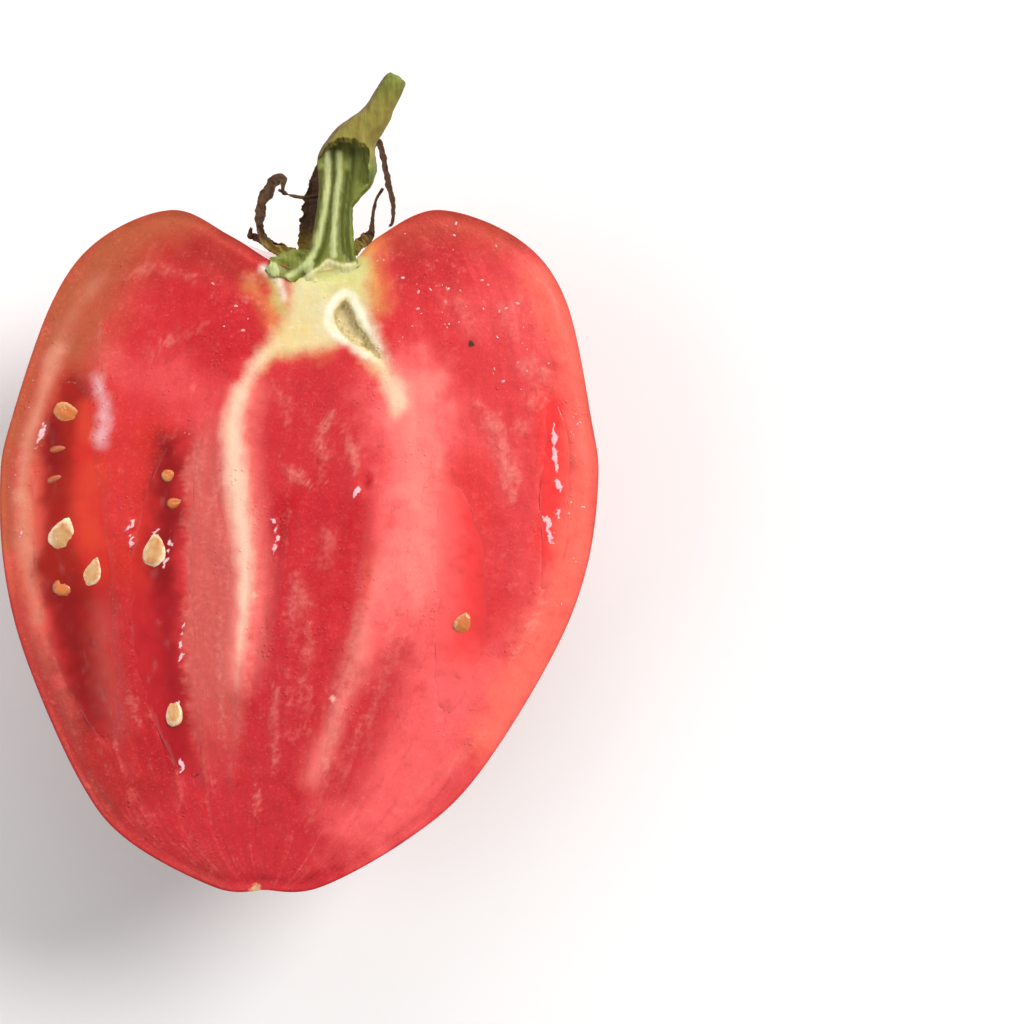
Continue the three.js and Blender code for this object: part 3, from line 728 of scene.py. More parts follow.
class Finish:
    """A procedural surface, wired up node by node. Sizes are in millimetres."""

    def __init__(self, name, **settings):
        self.material = bpy.data.materials.new(name)
        self.material.use_nodes = True
        self.tree = self.material.node_tree
        self.shader = self.tree.nodes["Principled BSDF"]
        self.object_place = self.tree.nodes.new("ShaderNodeTexCoord").outputs["Object"]
        for socket, value in settings.items():
            self.shader.inputs[socket.replace("_", " ")].default_value = value

    def put(self, value, socket):
        if isinstance(value, bpy.types.NodeSocket):
            self.tree.links.new(value, socket)
        elif socket.type == "RGBA":
            socket.default_value = (*value, 1.0)
        else:
            socket.default_value = value

    def give(self, socket, value):
        self.put(value, self.shader.inputs[socket])

    def read(self, name, vector=False):
        node = self.tree.nodes.new("ShaderNodeAttribute")
        node.attribute_name = name
        return node.outputs["Vector" if vector else "Fac"]

    def math(self, kind, a, b):
        node = self.tree.nodes.new("ShaderNodeMath")
        node.operation = kind
        self.put(a, node.inputs[0])
        self.put(b, node.inputs[1])
        return node.outputs[0]

    def add(self, a, b):
        return self.math("ADD", a, b)

    def times(self, a, b):
        return self.math("MULTIPLY", a, b)

    def noise(self, size, detail=3.0, rough=0.55, place=None, stretch=None, bend=0.0):
        """Noise about zero, mostly between -0.5 and 0.5."""
        node = self.tree.nodes.new("ShaderNodeTexNoise")
        place = self.spread(size, place, stretch)
        self.put(place, node.inputs["Vector"])
        node.inputs["Scale"].default_value = 1.0
        node.inputs["Detail"].default_value = detail
        node.inputs["Roughness"].default_value = rough
        node.inputs["Distortion"].default_value = bend
        return self.add(node.outputs["Fac"], -0.5)

    def spread(self, size, place=None, stretch=None):
        """The place that a texture with features of that size reads."""
        mapping = self.tree.nodes.new("ShaderNodeMapping")
        in_metres = place is None
        self.put(self.object_place if in_metres else place, mapping.inputs["Vector"])
        unit = MM if in_metres else 1.0
        stretch = stretch or (1, 1, 1)
        mapping.inputs["Scale"].default_value = [1 / (size * unit * s) for s in stretch]
        return mapping.outputs["Vector"]

    def cells(self, size):
        """Distance to the nearest of some scattered points, as a share of that size."""
        node = self.tree.nodes.new("ShaderNodeTexVoronoi")
        self.put(self.spread(size), node.inputs["Vector"])
        node.inputs["Scale"].default_value = 1.0
        return node.outputs["Distance"]

    def step(self, value, low, high, top=1.0):
        """A smooth step from 0 at low to top at high."""
        node = self.tree.nodes.new("ShaderNodeMapRange")
        node.interpolation_type = "SMOOTHSTEP"
        for name, number in (("Value", value), ("From Min", low), ("From Max", high)):
            self.put(number, node.inputs[name])
        node.inputs["To Min"].default_value = 0.0
        node.inputs["To Max"].default_value = top
        return node.outputs["Result"]

    def blend(self, share, under, over, kind="MIX"):
        node = self.tree.nodes.new("ShaderNodeMix")
        node.data_type = "RGBA"
        node.blend_type = kind
        self.put(share, node.inputs["Factor"])
        sockets = [s for s in node.inputs if s.type == "RGBA"]
        self.put(under, sockets[0])
        self.put(over, sockets[1])
        return next(s for s in node.outputs if s.type == "RGBA")

    def total(self, *terms):
        """The sum of some values, each with its weight."""
        total = None
        for value, weight in terms:
            term = value if weight == 1 else self.times(value, weight)
            total = term if total is None else self.add(total, term)
        return total

    def tint(self, under, colour, value, low, high, top=1.0):
        """Lays a colour over another as the value goes from low to high."""
        return self.blend(self.step(value, low, high, top), under, colour)

    def relief(self, height, depth, strength=1.0, under=None):
        """Bumps of that height in millimetres, over the ones before."""
        node = self.tree.nodes.new("ShaderNodeBump")
        node.inputs["Distance"].default_value = depth * MM
        node.inputs["Strength"].default_value = strength
        self.put(height, node.inputs["Height"])
        if under is not None:
            self.put(under, node.inputs["Normal"])
        return node.outputs["Normal"]


def soft_inside(finish, scale, weight=0.25, reach=(1.0, 0.25, 0.15)):
    """Lets light into a surface, by a depth in millimetres and further for red than for blue."""
    finish.give("Subsurface Weight", weight)
    finish.give("Subsurface Scale", scale * MM)
    finish.give("Subsurface Radius", reach)


DARKER = (0.36, 0.02, 0.02)  # what darker flesh is multiplied by
SPECK_BROWN = (0.07, 0.035, 0.025)
VEIN_BROWN = (0.02, 0.013, 0.009)


def columella_over(f, under, middle):
    """Lays the pink middle strip over a surface, with a fringed edge and faded ends."""
    hair = f.noise(0.6, detail=4, stretch=(3, 1, 1))
    ragged = f.noise(2.2, detail=5, rough=0.6)
    fringe = f.total((f.read("columella"), 1), (hair, 1.6), (ragged, 2.6))
    up = f.read("up")
    ends = f.times(f.step(up, 0.12, 0.34), f.step(up, 0.74, 0.62))
    return f.blend(f.times(f.step(fringe, -0.5, 1.1, 0.8), ends), under, middle)


def glints_over(f, under, grain):
    """Lays the painted highlights of the wet glints over a surface, broken up by a grain."""
    spark = f.noise(0.45, detail=3, rough=0.7)
    broken = f.total((f.read("glint"), 1), (grain, 1.1), (spark, 1.1))
    return f.tint(under, colours().glint, broken, 0.45, 0.85, 0.85)


def flesh_noises(f):
    """The noises that the tones of the cut face share."""
    along = f.read("fibre_run", vector=True)
    return SimpleNamespace(
        wobble=f.noise(2.2, detail=5, rough=0.6),
        mottle=f.noise(6, detail=5, rough=0.6),
        grain=f.noise(0.7, detail=4, rough=0.65),
        grit=f.noise(0.32, detail=3, rough=0.7),
        hair=f.noise(0.6, detail=4, stretch=(3, 1, 1)),
        fibre=f.noise(1.4, detail=4, place=along),
        thread=f.noise(0.4, detail=3, place=along),
        wisp=f.noise(4.0, detail=5, rough=0.6, place=along, bend=1.2),
    )


def mottled_flesh(f, n, low):
    """The ground tone with pale and dark mottling, fibres and grit."""
    c = colours()
    fibres = f.times(f.total((n.fibre, 0.55), (n.wisp, 0.7)), f.total((low, 0.4), (0.8, 1)))
    tone = f.total((n.wobble, 0.8), (fibres, 1), (n.grain, 0.6))
    flesh = f.read("ground", vector=True)
    flesh = f.tint(flesh, c.blush, tone, 0.04, 0.6, 0.5)
    flesh = f.blend(f.step(tone, -0.02, -0.6, 0.5), flesh, DARKER, "MULTIPLY")
    flesh = f.tint(flesh, c.flesh_pale, n.mottle, 0.05, 0.35, 0.25)
    flesh = f.tint(flesh, c.crimson, n.mottle, -0.05, -0.35, 0.3)
    flesh = f.tint(flesh, c.blush, n.grit, 0.06, 0.3, 0.35)
    return f.blend(f.step(n.grit, -0.06, -0.3, 0.3), flesh, DARKER, "MULTIPLY")


def strands_over(f, n, flesh):
    """Lays the pale wisps and the cream strand from the core over the flesh."""
    c = colours()
    brushed = f.total((n.wobble, 1.2), (n.grain, 1.2), (n.fibre, 1))
    wisps = f.times(f.read("pale"), f.step(brushed, -0.5, 0.5, 0.85))
    flesh = f.blend(wisps, flesh, c.columella_pale)
    yellow = f.total((f.read("yellow"), 1), (n.wobble, 0.9))
    flesh = f.tint(flesh, c.cream, yellow, 0.1, 1.0, 0.9)
    veil = f.times(f.read("strand_blush"), f.step(f.add(n.wisp, n.wobble), -0.9, 0.2))
    flesh = f.blend(veil, flesh, c.blush)
    strand = f.total((f.read("strand"), 1), (n.wisp, 1.6), (n.wobble, 1.4))
    cream = f.tint(c.cream, c.core, n.thread, -0.1, 0.4, 0.6)
    return f.tint(flesh, cream, strand, -1.5, 0.9, 0.95)


def hard_core(f, n):
    """The core's tones: green by the stalk, warm below, cream in its arms and white round its
    opening."""
    c = colours()
    across, up = f.read("across"), f.read("up")
    hard = f.tint(c.core, c.core_warm, f.total((n.mottle, 1), (n.wobble, 0.5)), -0.2, 0.3)
    hard = f.tint(hard, c.core_green, f.total((up, 1), (n.mottle, 0.16)), 0.84, 0.94, 0.85)
    low = f.total((up, 1), (n.mottle, 0.12), (across, 0.2))
    hard = f.tint(hard, c.core_warm, low, 0.84, 0.76, 0.8)
    sideways = f.total((across, 1), (n.wobble, 0.1))
    arms = f.add(f.step(sideways, 0.2, 0.28), f.step(sideways, -0.1, -0.19))
    hard = f.blend(f.times(arms, 0.8), hard, c.cream)
    white = f.total((f.read("split_rim"), 1), (n.wobble, 0.9))
    hard = f.tint(hard, c.core_white, white, 0.2, 1.1, 0.85)
    hard = f.tint(hard, c.core_green, n.hair, -0.05, 0.4, 0.4)
    return f.tint(hard, c.core_white, n.hair, -0.05, -0.4, 0.5)


def opening_over(f, n, under):
    """Lays the shaded inside of the core's opening over the core."""
    c = colours()
    uneven = f.add(n.grain, n.wobble)
    inside = f.total((f.read("split"), 1), (uneven, 0.9))
    lit = f.total((inside, 0.9), (uneven, 1.4))
    olive = f.tint(c.core_olive, c.core_hollow, lit, -0.2, 0.7)
    return f.tint(under, olive, inside, -0.2, 0.25, 0.95)


def wet_over(f, n, flesh):
    """Lays the wet cut's painted light over the flesh: pale sheen, small chips of light and glints.
    """
    c = colours()
    sparkle = f.read("sparkle")
    painted_sheen = f.times(f.step(f.add(n.wobble, n.grain), 0.0, 0.6, 0.6), sparkle)
    flesh = f.blend(painted_sheen, flesh, c.blush)
    in_clusters = f.step(f.noise(2.4, detail=3), -0.1, 0.12)
    spark = f.noise(0.45, detail=3, rough=0.7)
    chips = f.times(f.times(f.step(spark, 0.17, 0.27, 0.9), in_clusters), sparkle)
    flesh = f.blend(chips, flesh, c.glint)
    return glints_over(f, flesh, n.grain)


def blemishes_over(f, n, flesh):
    """Lays the darker edge by the skin, the brown speck and the corky scar over the flesh."""
    c = colours()
    flesh = f.tint(flesh, c.brick, f.read("rim"), 0.45, 0.05, 0.25)
    spotted = f.total((f.read("speck"), 1), (n.wobble, 1.3), (n.grain, 1.3))
    flesh = f.tint(flesh, SPECK_BROWN, spotted, 0.55, 0.25)
    cork = f.total((f.read("scar"), 1), (n.grain, 1.6))
    return f.tint(flesh, c.core_hollow, cork, 0.9, 0.3, 0.8)


def flesh_bumps(f, n, low, core):
    """The relief of the cut's fibres, grain and drops. Its threads fade out in the core."""
    bump = f.relief(f.times(n.fibre, f.total((low, 0.4), (0.3, 1))), 0.3, 0.4)
    bump = f.relief(f.times(n.thread, f.step(core, 0.6, -0.6)), 0.08, 0.4, bump)
    bump = f.relief(n.wobble, 0.3, 0.3, bump)
    bump = f.relief(n.grain, 0.12, 0.5, bump)
    bump = f.relief(n.grit, 0.05, 0.5, bump)
    drops = f.step(f.cells(0.75), 0.33, 0.1)
    in_places = f.step(f.noise(4, detail=2), 0.02, 0.2)
    return f.relief(f.times(drops, in_places), 0.12, 0.8, bump)


def flesh_surface():
    c, s = colours(), sizes()
    f = Finish(
        "cut_flesh",
        Specular_IOR_Level=0.2,
        Coat_Weight=0.12 * s.wetness,
        Coat_Roughness=0.1,
    )
    n = flesh_noises(f)
    low = f.step(f.read("up"), 0.6, 0.15)
    flesh = mottled_flesh(f, n, low)
    middle = f.step(f.add(n.fibre, n.grain), -0.1, 0.5, 0.7)
    flesh = columella_over(f, flesh, f.blend(middle, c.columella, c.columella_pale))
    flesh = strands_over(f, n, flesh)
    core = f.total((f.read("core"), 1), (n.wobble, 2.2), (n.hair, 0.5))
    flesh = f.tint(flesh, hard_core(f, n), core, -1.3, 1.1)
    flesh = opening_over(f, n, flesh)
    flesh = wet_over(f, n, flesh)
    f.give("Base Color", blemishes_over(f, n, flesh))
    f.give("Roughness", f.add(0.3, f.step(f.noise(1.6, detail=3), -0.25, 0.25, 0.3)))
    f.give("Normal", flesh_bumps(f, n, low, core))
    soft_inside(f, 2.5, 0.15)
    return f.material


def skin_surface():
    c = colours()
    f = Finish("tomato_skin", Specular_IOR_Level=0.35, Coat_Weight=0.3, Coat_Roughness=0.1)
    fibre_run = f.read("fibre_run", vector=True)
    cloud = f.noise(14, detail=3)
    streak = f.noise(3.2, detail=3, place=fibre_run)
    tone = f.total((cloud, 1), (streak, 0.6))
    skin = f.tint(c.skin, c.skin_blush, tone, -0.2, 0.4, 0.6)
    skin = f.tint(skin, c.shoulder, f.total((f.read("up"), 1), (tone, 0.25)), 0.8, 1.08, 0.6)
    skin = f.tint(skin, c.sepal_root, f.read("stalk_near"), 9.0, 4.0, 0.8)
    tiny = f.cells(1.5)
    dots = f.step(f.total((tiny, 1), (f.noise(5), 0.3)), 0.2, 0.08, 0.35)
    skin = f.blend(dots, skin, c.wall)
    scar = f.step(f.total((f.read("scar"), 1), (f.noise(1.2), 1.4)), 1.6, 0.8)
    skin = f.blend(scar, skin, c.seed)
    cork = f.noise(2.4, detail=5, rough=0.7, stretch=(1, 3, 1))
    skin = f.tint(skin, c.seed, cork, 0.27, 0.32, 0.5)
    f.give("Base Color", skin)
    f.give("Roughness", f.step(f.add(streak, dots), -0.4, 0.9, 0.32))
    bump = f.relief(cloud, 0.5, 0.25)
    bump = f.relief(streak, 0.2, 0.35, bump)
    bump = f.relief(f.total((tiny, -1), (scar, 2)), 0.05, 0.6, bump)
    f.give("Normal", bump)
    soft_inside(f, 2.0, 0.12)
    return f.material


def jelly_surface():
    c = colours()
    f = Finish(
        "seed_jelly",
        Specular_IOR_Level=0.3,
        Coat_Weight=0.2,
        Coat_Roughness=0.04,
        Roughness=0.2,
    )
    wobble = f.noise(3.4, detail=3, bend=0.4)
    fine = f.noise(1.1, detail=4, rough=0.55)
    jelly = f.read("ground", vector=True)
    tone = f.total((wobble, 1), (fine, 0.4))
    jelly = f.tint(jelly, c.amber, tone, 0.08, 0.5, 0.35)
    jelly = f.tint(jelly, c.chamber_deep, tone, -0.05, -0.5, 0.6)
    middle = f.tint(c.columella, c.columella_pale, fine, -0.1, 0.4, 0.7)
    jelly = columella_over(f, jelly, middle)
    jelly = glints_over(f, jelly, fine)
    f.give("Base Color", jelly)
    bump = f.relief(wobble, 0.3, 0.25)
    bump = f.relief(fine, 0.1, 0.3, bump)
    f.give("Normal", bump)
    soft_inside(f, 3.0, 0.05)
    return f.material


def seed_surface(name, coat, edge):
    c = colours()
    f = Finish(name, Coat_Weight=0.55, Coat_Roughness=0.1)
    fuzz = f.noise(0.25, detail=4, rough=0.7)
    patch = f.noise(1.1, detail=4, rough=0.6)
    tone = f.total((f.read("seed_edge"), 1), (fuzz, 0.5), (patch, 1.1))
    body = f.tint(coat, edge, tone, 0.3, 0.95)
    body = f.tint(body, c.seed_amber, patch, 0.06, -0.24, 0.7)
    drowned = f.total((f.read("seed_low"), 1), (patch, 0.7), (fuzz, 0.3))
    body = f.tint(body, c.ember, drowned, 0.16, 0.6, 0.85)
    # Painted highlights: white spots on the seed's wet coat where the noises peak, in the core's
    # white.
    body = f.tint(body, c.core_white, f.add(fuzz, patch), 0.2, 0.34, 0.9)
    f.give("Base Color", body)
    f.give("Roughness", f.total((fuzz, 0.3), (0.4, 1)))
    f.give("Normal", f.relief(fuzz, 0.1, 0.7))
    soft_inside(f, 0.8, 0.15, (1.0, 0.6, 0.3))
    return f.material


def rind_surface():
    c = colours()
    f = Finish("stalk_rind", Specular_IOR_Level=0.3)
    along = f.read("along_run", vector=True)
    ridge = f.noise(0.7, detail=4, place=along)
    blotch = f.noise(2.2, detail=5, rough=0.65)
    fuzz = f.noise(0.16, detail=3)
    rind = f.tint(c.stalk_dark, c.stalk, ridge, -0.3, 0.4)
    rind = f.tint(rind, c.stalk_split, f.noise(4), 0.0, 0.4, 0.6)
    rind = f.blend(f.read("joint"), rind, c.sepal_root)
    # Painted shade: the stalk's side that faces left, away from the key light, turns sepal brown.
    shaded = f.total((f.read("left_side"), 1), (blotch, 0.8))
    rind = f.tint(rind, c.sepal, shaded, 0.25, 0.9, 0.75)
    brown = f.total((blotch, 1), (f.read("weathered"), 0.3))
    rind = f.tint(rind, c.sepal, brown, 0.2, 0.5, 0.45)
    f.give("Base Color", rind)
    f.give("Roughness", f.total((fuzz, 0.4), (0.62, 1)))
    bump = f.relief(ridge, 0.35, 0.7)
    bump = f.relief(blotch, 0.25, 0.5, bump)
    f.give("Normal", f.relief(fuzz, 0.08, 0.7, bump))
    soft_inside(f, 0.6, 0.08, (0.6, 1.0, 0.3))
    return f.material


def split_surface():
    c = colours()
    f = Finish("stalk_split", Specular_IOR_Level=0.25, Coat_Weight=0.08, Coat_Roughness=0.3)
    along = f.read("along_run", vector=True)
    strand = f.noise(0.5, detail=4, place=along)
    fine = f.noise(0.2, detail=3, place=along)
    wobble = f.noise(1.0, detail=4)
    inside = f.tint(c.stalk_dark, c.stalk_split, f.add(strand, wobble), -0.8, 0.2)
    inside = f.tint(inside, c.core_green, f.noise(2.6), -0.05, 0.4, 0.35)
    high = f.total((f.read("split_up"), 1), (strand, 0.16))
    inside = f.tint(inside, c.stalk_dark, high, 0.52, 0.66, 0.7)
    dark = f.times(f.read("dark_strand"), f.step(fine, -0.9, 0.1))
    inside = f.blend(dark, inside, c.stalk_dark)
    pale = f.total((f.read("pale_strand"), 1), (fine, 0.35), (wobble, 0.35))
    inside = f.tint(inside, c.stalk_pale, pale, 0.1, 0.85)
    # Painted light: the tops of the lumps at the stalk's foot are painted pale, as if lit.
    lump = f.total((f.read("lump"), 1), (wobble, 0.4))
    inside = f.tint(inside, c.stalk_pale, lump, 0.15, 0.7, 0.85)
    core = f.step(f.total((f.read("to_core"), 1), (wobble, 0.8)), 0.1, 0.9)
    hard = f.tint(c.core_green, c.core, wobble, -0.3, 0.3)
    inside = f.blend(core, inside, hard)
    f.give("Base Color", inside)
    f.give("Roughness", f.total((fine, 0.4), (0.42, 1)))
    bump = f.relief(f.times(strand, f.step(core, 0.7, 0.1)), 0.15, 0.4)
    f.give("Normal", f.relief(f.times(fine, f.step(core, 0.9, 0.2)), 0.08, 0.5, bump))
    soft_inside(f, 1.0, 0.1, (0.7, 1.0, 0.4))
    return f.material


def sepal_surface():
    c = colours()
    f = Finish("dried_sepal", Specular_IOR_Level=0.25)
    along = f.read("along_run", vector=True)
    vein = f.noise(0.35, detail=4, place=along)
    blotch = f.noise(1.3, detail=5, rough=0.7)
    root = f.total((f.read("t"), 1), (blotch, 0.35))
    dry = f.tint(VEIN_BROWN, c.sepal, vein, -0.45, 0.3)
    dry = f.tint(dry, c.shoulder, blotch, 0.08, 0.5, 0.35)
    dry = f.tint(dry, c.sepal_root, root, 0.36, 0.1, 0.9)
    f.give("Base Color", dry)
    f.give("Roughness", f.total((vein, 0.3), (0.78, 1)))
    bump = f.relief(vein, 0.25, 0.9)
    f.give("Normal", f.relief(blotch, 0.3, 0.6, bump))
    return f.material


def juice_surface():
    c = colours()
    f = Finish("juice", Coat_Weight=1.0, Coat_Roughness=0.03, Roughness=0.08)
    tint = f.noise(1.5, detail=2)
    # The beads are painted pale, blush to glint white, as painted highlights of the wet juice.
    f.give("Base Color", f.tint(c.blush, c.glint, tint, -0.3, 0.4))
    f.give("Normal", f.relief(tint, 0.1, 0.2))
    soft_inside(f, 1.0, 0.3)
    return f.material


def floor_surface():
    f = Finish("plain_floor", Roughness=0.6)
    f.give("Base Color", colours().floor)
    return f.material


# ---- Flesh and skin ----


def disc_of_square(u, v):
    """Bends a square's points into a disc: the share of the radius and the direction."""
    wide = np.abs(u) >= np.abs(v)
    reach = np.where(wide, u, v)
    safe = np.where(reach == 0, 1, reach)
    angle = np.where(wide, v / safe, 2 - u / safe) * math.pi / 4
    return np.abs(reach), np.sign(reach) * np.cos(angle), np.sign(reach) * np.sin(angle)


def skin_places(verts):
    """Places for the uncut back, and each point's share of the way to the rim."""
    s = sizes()
    out, right, top = disc_of_square(*places_of(verts).T[:2])
    sink = out * math.pi / 2
    dx, dy, dz = np.sin(sink) * right, np.sin(sink) * top, -np.cos(sink)
    radius = form_radius(np.arctan2(dy, np.hypot(dx, dz)), np.arctan2(dx, -dz))
    swell = 0.3 * np.cos(sink) * ripple(dx * 40, dy * 40, 14, 3.0, 2)
    radius = radius + swell
    up = HEART * s.fruit_length / MM + radius * dy
    low = CUT + radius * dz * s.round_depth / s.half_width
    x = leaned(radius * dx, up)
    return np.column_stack([x, FRUIT_LOW[1] + up, soft_floor(low, 0.0, 0.4)]), out


def face_places(verts):
    """Places for the cut face, and each point's distance to the rim in millimetres."""
    s = sizes()
    out, right, top = disc_of_square(*places_of(verts).T[:2])
    side = np.sign(np.where(np.abs(right) < 1e-9, 0, right))
    radius = form_radius(np.arctan2(top, np.abs(right)), side * math.pi / 2)
    up = HEART * s.fruit_length / MM + radius * out * top
    x = leaned(radius * out * right, up)
    places = np.column_stack([x, FRUIT_LOW[1] + up, np.full(len(x), CUT)])
    return places, radius * (1 - out)


def sunk_by(spot, ragged=0.0):
    """How far the chambers and grooves sink the cut face."""
    sunk = np.zeros(spot.shape)
    for chamber in CHAMBERS.values():
        away, t = spot.run(chamber["run"])
        narrow = spindle(t)
        inward = narrow - (away + ragged) / chamber["half_width"]
        if chamber["jelly"]:
            soft = SHELF * rise(inward, -0.3, 0.35)
            deep = (chamber["depth"] - SHELF) * narrow * rise(inward, 0.2, 0.75)
            sunk = np.maximum(sunk, soft + deep)
        else:
            sunk = np.maximum(sunk, chamber["depth"] * rise(inward, -0.3, 0.8))
    return sunk


def drawn(spot, lines):
    """The strongest of some soft lines at each point."""
    most = np.zeros(spot.shape)
    for points, half_width, strength in lines:
        away, t = spot.run(points)
        thin = half_width * (0.35 + 0.65 * np.sin(np.pi * np.clip(t, 0.02, 0.98)))
        most = np.maximum(most, strength * np.exp(-((away / thin) ** 2)))
    return most


def frayed(spot, size):
    """The same points, shifted a little so that what is drawn on them has ragged edges."""
    x = spot.x + size * ripple(spot.x, spot.y, 1.0, 81.0)
    y = spot.y + size * ripple(spot.x, spot.y, 1.0, 82.0)
    return Spot(x, y)


def glints(spot):
    """How near each point is to a wet glint, from 0 to 1."""
    return drawn(frayed(spot, 0.5), [(run, width, 1.0) for run, width in GLINTS])


# The scale of the fibres' pattern: across them about the fruit's half width in millimetres, and
# along them much less than its length, so that the pattern is drawn out.
FIBRE_ACROSS, FIBRE_ALONG = 38, 14


def meridian(spot):
    """Where each point lies across and along the flesh's fibres."""
    across, up = spot.shares()
    left, right, height = smooth_run(PROFILE, 12).T
    outer = slice(0, int(np.argmax(height)) + 1)
    reach_right = np.interp(up, height[outer], right[outer])
    reach_left = np.interp(up, height[outer], left[outer])
    reach = np.maximum(np.where(across > 0, reach_right, reach_left), 0.12)
    return across / reach * FIBRE_ACROSS, up * FIBRE_ALONG


def ground(spot):
    """The tone of the cut at each point."""
    c = colours()
    drift = 0.6 * ripple(spot.x, spot.y, 7.0, 11.0) + 0.4 * ripple(spot.x, spot.y, 2.4, 12.0)
    tone = np.tile(np.array(c.flesh), (len(spot.x), 1))
    for name, strength, half_width, soft, points in STAINS:
        away, _ = spot.run(points)
        reach = half_width + soft
        lies = strength * rise(away + soft * 0.7 * drift, reach, half_width - soft * 0.6)
        tone += (np.array(getattr(c, name)) - tone) * lies[:, None]
    return tone


def rim_of(spot):
    """How far each point of the cut face is from its rim, in millimetres."""
    heart_up = HEART * sizes().fruit_length / MM
    rel_x = spot.x - leaned(0, spot.y - FRUIT_LOW[1])
    rel_y = spot.y - FRUIT_LOW[1] - heart_up
    side = np.sign(np.where(np.abs(rel_x) < 1e-6, 0, rel_x))
    edge = form_radius(np.arctan2(rel_y, np.abs(rel_x)), side * math.pi / 2)
    return edge - np.hypot(rel_x, rel_y)


def seat_of_stalk(spot):
    """Below 1 in the oval that the stalk's disc stands on."""
    x, y = face_place(STALK_FOOT, HOLLOW)
    half_width, half_height = 6.4, 2.4
    return np.hypot((spot.x - x + 1.0) / half_width, (spot.y - y - 0.8) / half_height)


def brim_height(x):
    """How far up the stalk's cut disc the pale core reaches."""
    start, low = by_stalk(0, 0)[:2]
    right = (x - start) / (sizes().stalk_reach / MM)
    up = np.interp(right, [-0.45, -0.15, 0.08, 0.3, 0.6], [-0.08, 0.0, 0.06, 0.03, 0.05])
    return low + up * sizes().stalk_length / MM


# How far things stand out of the cut face or sink into it, in millimetres.
SWELL = 0.14
WISP_HEIGHT = 0.16
GLINT_HEIGHT = 0.3
STRAND_HEIGHT = 0.2
COLUMELLA_DEPTH = 0.15
OPENING_DEPTH = 0.9
RIM_GROOVE_DEPTH = 0.2
SEAT_DEPTH = 0.8
SCAR_DEPTH = 0.5
FLESH_SINKS = 0.1  # the whole cut face, below the knife's plane
RIM_GROOVE_PLACE = 1.1  # from the rim


def face_relief(spot, rim):
    """How far the cut face stands above the knife's plane at each point, in millimetres."""
    ragged = 0.4 * ripple(spot.x, spot.y, 2.2, 1.0)
    height = -sunk_by(spot, ragged)
    run_across, run_along = meridian(spot)
    height += sizes().fibre_relief / MM * ripple(run_across, run_along, 1.5, 5.0)
    height += SWELL * ripple(spot.x, spot.y, 5.5, 9.0)
    height += WISP_HEIGHT * drawn(frayed(spot, 0.9), PALE) - FLESH_SINKS
    height += GLINT_HEIGHT * glints(spot)
    strand, _ = spot.run(STRAND)
    height += STRAND_HEIGHT * rise(strand, 2.8, 0.4)
    height -= COLUMELLA_DEPTH * rise(spot.patch(COLUMELLA), 1.0, 3.0)
    torn = 0.3 * ripple(spot.x, spot.y, 0.9, 15.0)
    height -= OPENING_DEPTH * rise(spot.patch(OPENING) + torn, -0.15, 0.7)
    height -= RIM_GROOVE_DEPTH * np.exp(-(((rim - RIM_GROOVE_PLACE) / 0.6) ** 2))
    brim = brim_height(spot.x)
    height -= SEAT_DEPTH * rise(seat_of_stalk(spot), 0.8, 0.6) * rise(spot.y, brim, brim + 0.8)
    height -= SCAR_DEPTH * np.exp(-((spot.dot(-0.034, 0.006) / 1.5) ** 2))
    return height * rise(rim, 0.0, 0.45)


def edge_of(spot, outline):
    """Distance inside an outline, of use only near its edge."""
    return np.clip(spot.patch(outline), -6, 6)


def mark_fruit(mesh):
    """Stores what the flesh and the skin read at each point."""
    places = mesh_places(mesh)
    spot = Spot(places[:, 0], places[:, 1])
    across, up = spot.shares()
    run_across, run_along = meridian(spot)
    fibre_run = np.column_stack([run_across, run_along, places[:, 2] * 0.1])
    rim = rim_of(spot)
    away, t = spot.run(STRAND)
    half = np.interp(t, [0, 0.12, 0.4, 0.65, 0.85, 1], [0.4, 1.1, 1.0, 0.5, 0.0, -0.8])
    line_x = np.interp(spot.y, *smooth_run([face_place(*p) for p in STRAND][::-1], 6).T[::-1])
    right_of = rise(spot.x - line_x, 0.0, 2.0)
    near_strand = right_of * rise(away, 5.0, 0.8) + (1 - right_of) * rise(away, 2.6, 0.6)
    blush = 0.75 * near_strand * rise(up, 0.26, 0.36)
    split = edge_of(spot, OPENING)
    split_rim = np.exp(-(((split + 0.9) / 0.75) ** 2)) * rise(up, 0.755, 0.79)
    mark(
        mesh,
        fibre_run=fibre_run,
        across=across,
        up=up,
        rim=np.clip(rim, 0, 20),
        core=edge_of(spot, CORE),
        columella=edge_of(spot, COLUMELLA),
        ground=ground(spot),
        strand=half - away,
        strand_blush=blush,
        pale=drawn(frayed(spot, 0.9), PALE),
        yellow=drawn(spot, YELLOW),
        split=split,
        split_rim=split_rim,
        sparkle=drawn(spot, SPARKLE),
        glint=glints(spot),
        speck=spot.dot(*SPECK),
        scar=spot.dot(-0.03, 0.0),
        stalk_near=np.hypot(spot.dot(STALK_FOOT, HOLLOW), places[:, 2] - CUT),
    )


